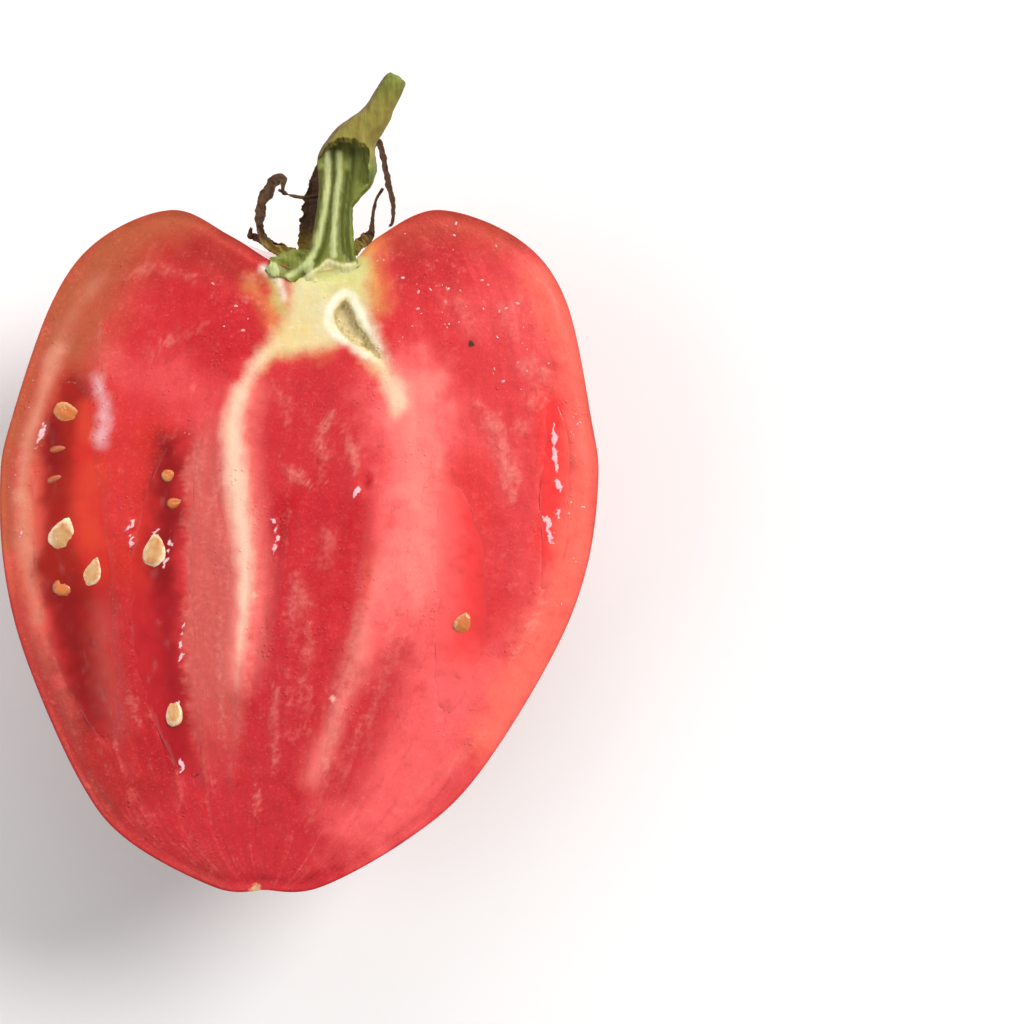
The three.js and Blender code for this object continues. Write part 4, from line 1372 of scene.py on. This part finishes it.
class TOMATO_OT_fruit(bpy.types.Operator):
    """Models the flesh with its cut face, and the skin round the back"""

    bl_idname = "tomato.fruit"
    bl_label = "Flesh and Skin"

    def execute(self, context):
        steps = sizes().face_steps
        bm = bmesh.new()
        grid = {"x_segments": steps, "y_segments": steps, "size": 1.0}
        face = bmesh.ops.create_grid(bm, **grid)["verts"]
        cut_places, rim = face_places(face)
        back = bmesh.ops.create_grid(bm, **grid)["verts"]
        back_places, out = skin_places(back)
        for vert in back:
            for around in vert.link_faces:
                around.material_index = 1
        spot = Spot(cut_places[:, 0], cut_places[:, 1])
        cut_places[:, 2] += face_relief(spot, rim)
        move_to(face, cut_places)
        move_to(back, back_places)
        edge = [v for v, r in zip(face, rim) if r < 1e-6]
        edge += [v for v, r in zip(back, out) if r > 1 - 1e-9]
        bmesh.ops.remove_doubles(bm, verts=edge, dist=0.02)
        bmesh.ops.recalc_face_normals(bm, faces=bm.faces)
        piece = built(bm, "fruit", [flesh_surface(), skin_surface()])
        mark_fruit(piece.data)
        settled(piece, "fruit_flesh", "fruit_half")
        return {"FINISHED"}


# ---- Jelly ----

JELLY_SPREAD = 1.12  # how far it reaches under the flesh beside it, as a share of the width
SEED_SWELL = 0.1  # how far the jelly climbs each seed, in millimetres
BED_GAP = 0.15  # between the jelly and its chamber's bed, in millimetres
END_DIP = 0.35  # how far the jelly's ends sink under the flesh, in millimetres


def chamber_line(chamber):
    places = [face_place(*point) for point in chamber["run"]]
    return Run([(x, y, CUT) for x, y in places])


class TOMATO_OT_jelly(bpy.types.Operator):
    """Models the wet jelly in each seed chamber"""

    bl_idname = "tomato.jelly"
    bl_label = "Jelly"

    def execute(self, context):
        surface = jelly_surface()
        for name, chamber in CHAMBERS.items():
            if chamber["jelly"]:
                self.fill(name, chamber, surface)
        return {"FINISHED"}

    def fill(self, name, chamber, surface):
        recess = sizes().jelly_recess / MM
        bm, t, angle, out = rod(56, 110)
        line = chamber_line(chamber)
        t = 0.03 + 0.94 * t
        narrow = spindle(t)
        depth = chamber["depth"] * narrow
        side = np.cos(angle) * out
        below = np.clip(-np.sin(angle), 0, 1) * out
        top = np.sin(angle) >= 0
        wide = side * chamber["half_width"] * narrow * JELLY_SPREAD
        places = line.beside(t, wide, np.zeros_like(t))
        x, y = places[:, 0], places[:, 1]
        lumps = 0.14 * ripple(x, y, 4.0, 21.0) + 0.05 * ripple(x, y, 1.3, 22.0)
        lumps *= 1 - side**4
        top_spot = Spot(x, y)
        for across, up, *_ in SEEDS:
            lumps += SEED_SWELL * np.exp(-((top_spot.dot(across, up) / 2.4) ** 2))
        meniscus = 0.04 * side**2 - 0.06 * side**8
        surface_height = -recess + lumps + meniscus
        bed = -recess - below * (depth - recess - BED_GAP)
        places[:, 2] = CUT + np.where(top, surface_height, bed)
        places[:, 2] -= END_DIP * rise(np.abs(t - 0.5), 0.42, 0.5)
        move_to(bm.verts, places)
        bmesh.ops.recalc_face_normals(bm, faces=bm.faces)
        piece = built(bm, "wet_jelly_" + name, [surface])
        points = mesh_places(piece.data)
        spot = Spot(points[:, 0], points[:, 1])
        mark(
            piece.data,
            ground=ground(spot),
            glint=glints(spot),
            columella=edge_of(spot, COLUMELLA),
            up=spot.shares()[1],
        )
        settled(piece, "seed_jelly", "jelly_" + name)


# ---- Seeds ----

# Where each seed lies, how it is turned, its length and width in millimetres, how deep its middle
# is, whether it stands on edge, and its finish.
SEEDS = [
    (-0.792, 0.701, -18, 4.2, 2.6, 0.5, False, "tan"),
    (-0.806, 0.647, 8, 4.2, 2.6, 1.25, True, "amber"),
    (-0.81, 0.604, 24, 4.0, 2.6, 1.25, True, "amber"),
    (-0.775, 0.522, 62, 4.9, 3.4, 0.4, False, "pale"),
    (-0.664, 0.467, 64, 4.2, 2.4, 0.4, False, "pale"),
    (-0.76, 0.449, 80, 3.4, 2.8, 0.6, False, "amber"),
    (-0.463, 0.5, 78, 4.8, 3.1, 0.4, False, "pale"),
    (-0.351, 0.262, 88, 4.1, 2.2, 0.35, False, "pale"),
    (0.591, 0.394, 55, 3.2, 2.2, 0.4, False, "tan"),
    (0.862, 0.532, 80, 3.4, 1.9, 1.1, True, "amber"),
    (-0.437, 0.61, 20, 2.1, 1.6, 0.35, False, "tan"),
    (-0.41, 0.569, 10, 2.3, 1.5, 0.35, False, "amber"),
]
EDGE_TILT, MOST_TILT = 74, 12  # degrees that a seed on edge leans, and that a flat one may


class TOMATO_OT_seeds(bpy.types.Operator):
    """Models each seed, with its pointed end, rim and furry coat"""

    bl_idname = "tomato.seeds"
    bl_label = "Seeds"

    def execute(self, context):
        c = colours()
        finishes = {
            "pale": seed_surface("pale_seed", c.seed, c.seed_pale),
            "tan": seed_surface("tan_seed", c.seed_amber, c.seed),
            "amber": seed_surface("jelly_seed", c.seed_amber, c.shoulder),
        }
        for i, seed in enumerate(SEEDS, 1):
            self.model(i, *seed[:-1], finishes[seed[-1]])
        return {"FINISHED"}

    def model(self, number, across, up, turn, long, wide, sink, on_edge, finish):
        bm = bmesh.new()
        bmesh.ops.create_cube(bm, size=2.0)
        bmesh.ops.subdivide_edges(bm, edges=bm.edges, cuts=13, use_grid_fill=True)
        ball = places_of(bm.verts)
        ball /= np.linalg.norm(ball, axis=1)[:, None]
        x, y, z = ball.T
        taper = 1 - 0.38 * x - 0.12 * x**2
        flat = np.sign(z) * np.abs(z) ** 0.8
        thick = sizes().seed_thickness / MM / 2
        dent = 1 - 0.22 * np.exp(-((x**2 + y**2) / 0.25))
        rough = 1 + 0.05 * ripple(x * 2 + number, y * 2 + z, 1.0, number)
        curl = 0.07 * wide * (x + 0.3) ** 2
        places = np.column_stack(
            [
                x * long / 2 * rough,
                y * taper * wide / 2 * rough + curl,
                flat * taper * thick * dent + 0.08 * ripple(x, y + number, 0.6, 2.0),
            ]
        )
        move_to(bm.verts, places)
        spin = Matrix.Rotation(math.radians(turn), 3, "Z")
        if on_edge:
            spin = spin @ Matrix.Rotation(math.radians(EDGE_TILT), 3, "X")
        else:
            tilt = rng(number).uniform(-MOST_TILT, MOST_TILT, 2)
            spin = spin @ Matrix.Rotation(math.radians(tilt[0]), 3, "X")
            spin = spin @ Matrix.Rotation(math.radians(tilt[1]), 3, "Y")
        bmesh.ops.rotate(bm, cent=(0, 0, 0), matrix=spin, verts=bm.verts)
        where = face_place(across, up)
        bmesh.ops.translate(bm, vec=(*where, CUT - sink), verts=bm.verts)
        piece = built(bm, f"fresh_seed_{number:02d}", [finish])
        deep = CUT - mesh_places(piece.data)[:, 2]
        mark(piece.data, seed_edge=np.hypot(x, y) ** 2, seed_low=rise(deep, -0.2, 0.9))
        settled(piece, "seeds", f"seed_{number:02d}")


# ---- Stalk ----


def by_stalk(right, up, back=0.0):
    """A point near the stalk, from shares of its reach and length, and of the depth behind it."""
    s = sizes()
    x, y = face_place(STALK_FOOT, HOLLOW)
    behind = s.knuckle_radius / MM + 0.95
    return (
        x + right * s.stalk_reach / MM,
        y + up * s.stalk_length / MM,
        CUT - back * behind,
    )


# How far up the split is whole and how far up and right it reaches, and where it reaches highest,
# as shares of the stalk's length and reach.
SPLIT_NARROWS, SPLIT_TOP, SPLIT_SIDE, SPLIT_CREST = 0.42, 0.66, 0.68, 0.36
SPLIT_RISE = 0.12  # of the split face above the knife's plane, in millimetres
BRIM_SINKS = 0.45  # where the pale core reaches up the stalk's disc, in millimetres
# The strands in the stalk's split face.
PALE_STRANDS = [
    [(0.06, 0.6), (0.07, 0.48), (0.04, 0.36), (-0.02, 0.24), (-0.1, 0.12), (-0.24, 0.04),
     (-0.5, -0.02)],
    [(0.24, 0.6), (0.23, 0.48), (0.19, 0.36), (0.16, 0.22), (0.15, 0.08)],
]
DARK_STRANDS = [
    [(0.46, 0.62), (0.42, 0.5), (0.38, 0.375), (0.34, 0.248), (0.36, 0.12), (0.4, 0.06)],
    [(0.36, 0.5), (0.3, 0.36), (0.27, 0.22), (0.3, 0.1)],
    [(0.06, 0.24), (0.0, 0.12), (-0.14, 0.03), (-0.3, -0.03), (-0.4, -0.06)],
    [(-0.2, 0.12), (-0.34, 0.08)],
    [(0.15, 0.62), (0.15, 0.5), (0.11, 0.34), (0.07, 0.22)],
    [(-0.04, 0.5), (-0.07, 0.36), (-0.13, 0.22)],
]


def strands_near(spot, strands, half_width):
    """How near each point is to some strands of the split face, from 0 to 1."""
    away = [spot.near(smooth_run([by_stalk(*p)[:2] for p in run], 6))[0] for run in strands]
    return np.exp(-((np.min(away, axis=0) / half_width) ** 2))


class TOMATO_OT_stalk(bpy.types.Operator):
    """Models the stalk, split lengthwise up to its joint, on its disc"""

    bl_idname = "tomato.stalk"
    bl_label = "Stalk"

    def execute(self, context):
        s = sizes()
        neck, knuckle, tip = (r / MM for r in (s.neck_radius, s.knuckle_radius, s.tip_radius))
        shares = [
            (0.1, 0, 0.12), (0.14, 0.19, 0.1), (0.18, 0.35, 0.08), (0.31, 0.487, 0.04),
            (0.375, 0.58, 0), (0.5, 0.68, -0.06), (0.76, 0.78, -0.16), (0.94, 0.89, -0.25),
            (1.1, 0.98, -0.3),
        ]
        line = Run([by_stalk(*point) for point in shares])
        bm, t, angle, out = rod(56, 150)
        marks = [0, 0.28, 0.36, 0.46, 0.52, 0.58, 0.7, 0.85, 0.97, 1]
        radii = [neck * share for share in (1.5, 1, 1.08)]
        radii += [knuckle * share for share in (0.95, 1.02, 0.93)]
        radii += [tip * share for share in (1.9, 1.4, 1.25, 0.9)]
        dense = smooth_run(np.column_stack([marks, radii]), 8)
        radius = np.interp(t, *dense.T)
        ridges = 1 + 0.05 * np.cos(5 * angle + 1.3) + 0.03 * np.cos(9 * angle + 6 * t)
        lumps = 0.16 * ripple(angle * 2.2, t * 18, 1.2, 31.0) * out
        reach = out * radius * ridges + lumps
        places = line.beside(t, np.cos(angle) * reach, np.sin(angle) * reach)
        broken = 0.35 * ripple(angle, out * 3, 0.8, 7.0)
        ends = np.where(t > 0.5, 1, -1) * broken * (t > 0.995)
        places += line.frame(t)[2] * ends[:, None]
        move_to(bm.verts, places)
        self.add_disc(bm)
        piece = built(bm, "split_stalk", [])
        self.fuse(piece)
        self.split(piece)
        piece.data.materials.append(rind_surface())
        piece.data.materials.append(split_surface())
        settled(piece, "stalk", "stalk")
        return {"FINISHED"}

    def add_disc(self, bm):
        """Adds the lumpy disc that the stalk stands on, in the fruit's hollow."""
        disc = bmesh.ops.create_icosphere(bm, subdivisions=5, radius=1.0)["verts"]
        ball = places_of(disc)
        x, y, z = ball.T
        turn = np.arctan2(x, z)
        lobes = 1 + 0.07 * np.cos(5 * turn + 0.6) + 0.14 * ripple(x * 3, z * 2 + y * 3, 0.8, 41.0)
        lobes *= 1 - 0.1 * rise(x, 0.2, 0.9) * rise(z, -0.3, 0.3)
        radius = sizes().disc_radius / MM
        places = np.column_stack([x * radius, y * 2.2, z * radius]) * lobes[:, None]
        move_to(disc, places + np.array(by_stalk(-0.12, 0.03)))

    def fuse(self, piece):
        """Grows the rod and its disc together into one even skin."""
        remesh = piece.modifiers.new("grown together", "REMESH")
        remesh.mode = "VOXEL"
        remesh.voxel_size = 0.17 * MM
        smooth = piece.modifiers.new("soft joins", "SMOOTH")
        smooth.factor = 0.5
        smooth.iterations = 3
        graph = bpy.context.evaluated_depsgraph_get()
        grown = bpy.data.meshes.new_from_object(piece.evaluated_get(graph))
        piece.modifiers.clear()
        old, piece.data = piece.data, grown
        bpy.data.meshes.remove(old)
        grown.name = piece.name

    def split(self, piece):
        """Presses the half above the knife's cut down to a flat, and marks the surfaces."""
        mesh = piece.data
        places = mesh_places(mesh)
        x, y, z = places.T
        torn = 0.35 * ripple(x, y, 1.1, 51.0)
        fade = 0.85 + 0.3 * ripple(x * 2, y * 0.4, 1.0, 54.0)
        pale = fade * strands_near(Spot(x, y), PALE_STRANDS, 0.48)
        dark = strands_near(Spot(x, y), DARK_STRANDS, 0.5)
        bumps = ripple(x, y, 2.6, 55.0, 2)
        face = self.split_height(x, y, pale, dark, bumps)
        flat = self.in_split(x, y, torn) & (z > face)
        places[:, 2] = np.where(flat, face, z)
        mesh.vertices.foreach_set("co", (places * MM).ravel())
        start, low = by_stalk(0, 0)[:2]
        right = (x - start) / (sizes().stalk_reach / MM)
        up = (y - low) / (sizes().stalk_length / MM)
        mark(
            mesh,
            along_run=np.column_stack([x, y * 0.12, z]),
            pale_strand=pale,
            dark_strand=dark,
            # Marks the high bumps at the foot of the split face, for their painted lit tops.
            lump=rise(up, 0.12, 0.07) * rise(right, -0.05, -0.25) * rise(bumps, -0.12, 0.22),
            to_core=rise(brim_height(x) - y + 0.3 * torn, -0.7, 0.3),
            joint=0.55 * rise(up, 0.5, 0.62) * rise(up, 1.0, 0.8),
            split_up=up,
            weathered=np.exp(-(((up - 0.55) / 0.06) ** 2)) + rise(up, 0.93, 1.0),
        )
        mesh.update()
        normals = np.empty(len(mesh.vertices) * 3)
        mesh.vertices.foreach_get("normal", normals)
        # The side that faces left, away from the key light, for the rind's painted shade.
        mark(mesh, left_side=-normals[::3])
        on_cut = flat[np.array([p.vertices[0] for p in mesh.polygons])]
        level = np.array([p.normal.z for p in mesh.polygons]) > 0.55
        mesh.polygons.foreach_set("material_index", (on_cut & level).astype(np.int32))
        mesh.shade_smooth()

    def in_split(self, x, y, torn):
        """Where the knife's cut shows: the whole stalk low down, and its left up to the joint."""
        narrows = by_stalk(0, SPLIT_NARROWS)[1]
        side = by_stalk(SPLIT_SIDE, 0)[0]
        crest = by_stalk(0, SPLIT_TOP)[1] - 0.16 * (x - by_stalk(SPLIT_CREST, 0)[0]) ** 2
        return (y + torn < narrows) | ((y + torn < crest) & (x + 0.6 * torn < side))

    def split_height(self, x, y, pale, dark, bumps):
        """How high the split face is, with its strands and the lumps at its foot."""
        relief = 0.16 * pale - 0.24 * dark + 0.08 * ripple(x * 3, y * 0.5, 1.0, 52.0)
        foot = rise(y, by_stalk(0, 0.14)[1], by_stalk(0, 0.06)[1])
        foot *= rise(x, by_stalk(0.0, 0)[0], by_stalk(-0.3, 0)[0])
        relief += (0.04 + 0.5 * foot) * bumps
        return CUT + SPLIT_RISE + relief - BRIM_SINKS * rise(brim_height(x) - y, 0.1, 1.2)


# ---- Dried sepals ----

# Each sepal's run by the stalk, in shares, its half width in millimetres along the run and its
# twist. The first point is the root, and its depth is a share of the disc's radius instead.
SEPALS = {
    "sepal_hooked": {
        "run": [
            (-0.46, 0.05, 0.2), (-0.72, 0.1, 0.24), (-0.88, 0.18, 0.24), (-0.93, 0.28, 0.22),
            (-0.88, 0.36, 0.24), (-0.775, 0.43, 0.26), (-0.67, 0.475, 0.24), (-0.6, 0.47, 0.2),
            (-0.6, 0.41, 0.15),
        ],
        "half_width": [(0, 0.85), (0.35, 0.55), (0.65, 0.85), (0.85, 0.7), (1, 0.15)],
        "twist": 0.3,
    },
    "sepal_stub": {
        "run": [
            (-0.45, 0.05, 0.5), (-0.74, 0.08, 0.66), (-0.93, 0.105, 0.66), (-1.04, 0.145, 0.6),
            (-1.09, 0.188, 0.5), (-1.07, 0.23, 0.4),
        ],
        "half_width": [(0, 0.9), (0.5, 0.7), (1, 0.2)],
        "twist": 0.2,
    },
    "sepal_broad": {
        "run": [
            (-0.3, 0.06, 0.697), (-0.25, 0.2, 1), (-0.2, 0.335, 1.02), (-0.16, 0.45, 1.08),
            (-0.1, 0.57, 1.12),
        ],
        "half_width": [(0, 1), (0.4, 1.35), (0.8, 1), (1, 0.3)],
        "twist": 0.2,
    },
    "sepal_long": {
        "run": [
            (0.17, 0.06, 0.774), (0.28, 0.284, 1.1), (0.4, 0.46, 1.15), (0.6, 0.62, 1.1),
            (0.75, 0.68, 0.95), (0.83, 0.64, 0.8), (0.895, 0.53, 0.62), (0.965, 0.43, 0.5),
            (1.02, 0.335, 0.44), (1, 0.26, 0.4), (0.96, 0.22, 0.36),
        ],
        "half_width": [(0, 1), (0.3, 0.9), (0.6, 0.5), (0.9, 0.35), (1, 0.15)],
        "twist": 0.2,
    },
    "sepal_small": {
        "run": [
            (0.42, 0.08, 0.31), (0.57, 0.16, 0.42), (0.69, 0.2, 0.38), (0.716, 0.284, 0.31),
            (0.775, 0.376, 0.27), (0.86, 0.421, 0.23),
        ],
        "half_width": [(0, 0.9), (0.3, 0.75), (0.5, 0.3), (1, 0.18)],
        "twist": 0.1,
    },
}


class TOMATO_OT_sepals(bpy.types.Operator):
    """Models each dried and curled sepal"""

    bl_idname = "tomato.sepals"
    bl_label = "Sepals"

    def execute(self, context):
        surface = sepal_surface()
        for number, (name, sepal) in enumerate(SEPALS.items()):
            self.model(name, number, surface, **sepal)
        return {"FINISHED"}

    def model(self, name, number, surface, run, half_width, twist):
        widths = smooth_run(half_width, 8)
        points = []
        for i, shares in enumerate(run):
            x, y, z = by_stalk(*shares)
            if i == 0:
                z = CUT - shares[2] * sizes().disc_radius / MM
            broad = float(np.interp(i / (len(run) - 1), *widths.T))
            wall = FRUIT_LOW[1] + hollow_height(x, z - CUT)
            points.append((x, max(y, wall + broad + 0.95), z))
        bm, t, angle, out = rod(24, 150)
        side = np.cos(angle) * out
        turn = twist + 0.5 * ripple(t * 5, np.full_like(t, number), 1.0, 61.0, 2)
        line = Run(points, twist=turn)
        width = np.interp(t, *widths.T)
        far = t * line.length
        uneven = width * (1 + 0.35 * ripple(far, side * 0.3, 1.1, 62.0 + number))
        thick = sizes().sepal_thickness / MM / 2 * np.sin(angle) * out
        curl = 0.5 * width * side**2 - 0.2 * width
        crumpled = 0.3 * ripple(far, side * width + number * 9, 1.2, 63.0)
        torn = 0.5 * rise(t, 0.94, 1) * ripple(side * 2, t, 0.6, 64.0 + number)
        places = line.beside(t, side * uneven, thick + curl + crumpled)
        places += line.frame(t)[2] * torn[:, None]
        move_to(bm.verts, places)
        bmesh.ops.recalc_face_normals(bm, faces=bm.faces)
        piece = built(bm, "dried_" + name, [surface])
        mark(piece.data, t=t, along_run=np.column_stack([side * 1.4, far * 0.12, np.zeros_like(t)]))
        settled(piece, "dried_sepals", name)


# ---- Small details ----

FIBRE_RADIUS = 0.22  # of the loose fibre, in millimetres


class TOMATO_OT_details(bpy.types.Operator):
    """Models the beads of juice on the cut face, and the loose fibre between the sepals"""

    bl_idname = "tomato.details"
    bl_label = "Juice and Fibre"

    def execute(self, context):
        self.beads()
        self.fibre()
        return {"FINISHED"}

    def beads(self):
        random = rng(1)
        spread = [
            (0.42, 0.87, 0.15, 0.05, 36),
            (0.66, 0.82, 0.1, 0.06, 18),
            (0.92, 0.62, 0.02, 0.16, 26),
            (-0.24, 0.85, 0.05, 0.03, 8),
            (-0.94, 0.62, 0.02, 0.08, 14),
        ]
        bm = bmesh.new()
        for across, up, wide, tall, count in spread:
            for _ in range(count):
                a, b = random.normal((across, up), (wide, tall))
                size = 0.07 + 0.13 * random.random() ** 3
                self.bead(bm, a, b, size, random.uniform(0, math.pi))
        piece = built(bm, "juice_beads", [juice_surface()])
        settled(piece, "seed_jelly")

    def bead(self, bm, across, up, size, turn):
        x, y = face_place(across, up)
        spot = Spot(np.array([x]), np.array([y]))
        rim = rim_of(spot)
        if rim[0] < 1.2 or sunk_by(spot)[0] > 0.2 or spot.patch(CORE)[0] > -1:
            return
        ball = bmesh.ops.create_uvsphere(bm, u_segments=8, v_segments=5, radius=size)
        verts = ball["verts"]
        grown = Matrix.Diagonal((1.7, 1.0, 0.5)).to_3x3()
        spin = Matrix.Rotation(turn, 3, "Z")
        bmesh.ops.transform(bm, matrix=(spin @ grown).to_4x4(), verts=verts)
        place = (x, y, CUT + face_relief(spot, rim)[0])
        bmesh.ops.translate(bm, vec=place, verts=verts)

    def fibre(self):
        shares = [(-0.66, 0.42, 0.2), (-0.49, 0.395, 0.3), (-0.27, 0.39, 0.6), (-0.06, 0.41, 0.9)]
        line = Run([by_stalk(*point) for point in shares])
        bm, t, angle, out = rod(8, 40)
        thick = out * FIBRE_RADIUS * (1 + 0.6 * ripple(t * 12, t, 1.0, 71.0))
        places = line.beside(t, np.cos(angle) * thick, np.sin(angle) * thick)
        move_to(bm.verts, places)
        bmesh.ops.recalc_face_normals(bm, faces=bm.faces)
        piece = built(bm, "loose_fibre", [sepal_surface()])
        mark(piece.data, t=np.full_like(t, 0.6), along_run=places * 0.4)
        settled(piece, "dried_sepals")


# ---- Stage ----


class TOMATO_OT_stage(bpy.types.Operator):
    """Sets the plain floor, the soft studio lights and the camera above the cut face"""

    bl_idname = "tomato.stage"
    bl_label = "Stage"

    def execute(self, context):
        scene = context.scene
        bm = bmesh.new()
        bmesh.ops.create_grid(bm, x_segments=8, y_segments=8, size=2500.0)
        built(bm, "floor", [floor_surface()])
        self.camera(scene)
        self.light("key", (0.95, 0.6, 0.95), 0.7, 19.0, (1.0, 0.98, 0.95))
        self.light("fill", (-1.1, -0.2, 1.0), 1.6, 7.8, (1.0, 1.0, 1.0))
        self.light("back", (0.1, 1.2, 0.7), 1.0, 6.0, (1.0, 1.0, 1.0))
        world = bpy.data.worlds.new("studio")
        world.use_nodes = True
        sky = world.node_tree.nodes["Background"].inputs
        sky["Color"].default_value = (1.0, 1.0, 1.0, 1.0)
        sky["Strength"].default_value = 0.3
        scene.world = world
        scene.view_settings.view_transform = "Standard"
        return {"FINISHED"}

    def camera(self, scene):
        """Looks straight down on the cut face, at the left of a square frame."""
        wide = 137.6  # what the frame takes in at the cut face, in millimetres
        lens = bpy.data.cameras.new("camera")
        lens.lens = 85.0
        lens.sensor_width = 36.0
        above = wide * lens.lens / lens.sensor_width
        camera = bpy.data.objects.new("camera", lens)
        camera.location = (28.56 * MM, -4.17 * MM, (CUT + above) * MM)
        camera.rotation_euler = (0.0, 0.0, 0.0)
        scene.collection.objects.link(camera)
        scene.camera = camera

    def light(self, name, place, size, watts, tint):
        data = bpy.data.lights.new(name, "AREA")
        data.shape = "DISK"
        data.size = size
        data.energy = watts
        data.color = tint
        lamp = bpy.data.objects.new(name, data)
        lamp.location = place
        aim = Vector((0.0, 0.0, 0.03)) - Vector(place)
        lamp.rotation_euler = aim.to_track_quat("-Z", "Y").to_euler()
        bpy.context.scene.collection.objects.link(lamp)


# ---- Panel and main ----

PIECES = (
    TOMATO_OT_fruit,
    TOMATO_OT_jelly,
    TOMATO_OT_seeds,
    TOMATO_OT_stalk,
    TOMATO_OT_sepals,
    TOMATO_OT_details,
    TOMATO_OT_stage,
)


class TOMATO_PT_panel(bpy.types.Panel):
    """Lists the tomato's sizes, colours and pieces"""

    bl_idname = "TOMATO_PT_panel"
    bl_label = "Tomato Half"
    bl_space_type = "VIEW_3D"
    bl_region_type = "UI"
    bl_category = "Tomato"

    def draw(self, context):
        for group in (context.scene.tomato_sizes, context.scene.tomato_colours):
            box = self.layout.box()
            for name in group.bl_rna.properties.keys():
                if name not in {"rna_type", "name"}:
                    box.prop(group, name)
        for piece in PIECES:
            self.layout.operator(piece.bl_idname)


CLASSES = (TomatoSizes, TomatoColours, *PIECES, TOMATO_PT_panel)


def register():
    for cls in CLASSES:
        bpy.utils.register_class(cls)
    bpy.types.Scene.tomato_sizes = PointerProperty(type=TomatoSizes)
    bpy.types.Scene.tomato_colours = PointerProperty(type=TomatoColours)


def unregister():
    del bpy.types.Scene.tomato_colours
    del bpy.types.Scene.tomato_sizes
    for cls in reversed(CLASSES):
        bpy.utils.unregister_class(cls)


def main():
    register()
    bpy.ops.tomato.fruit()
    bpy.ops.tomato.jelly()
    bpy.ops.tomato.seeds()
    bpy.ops.tomato.stalk()
    bpy.ops.tomato.sepals()
    bpy.ops.tomato.details()
    bpy.ops.tomato.stage()


if __name__ == "__main__":
    main()
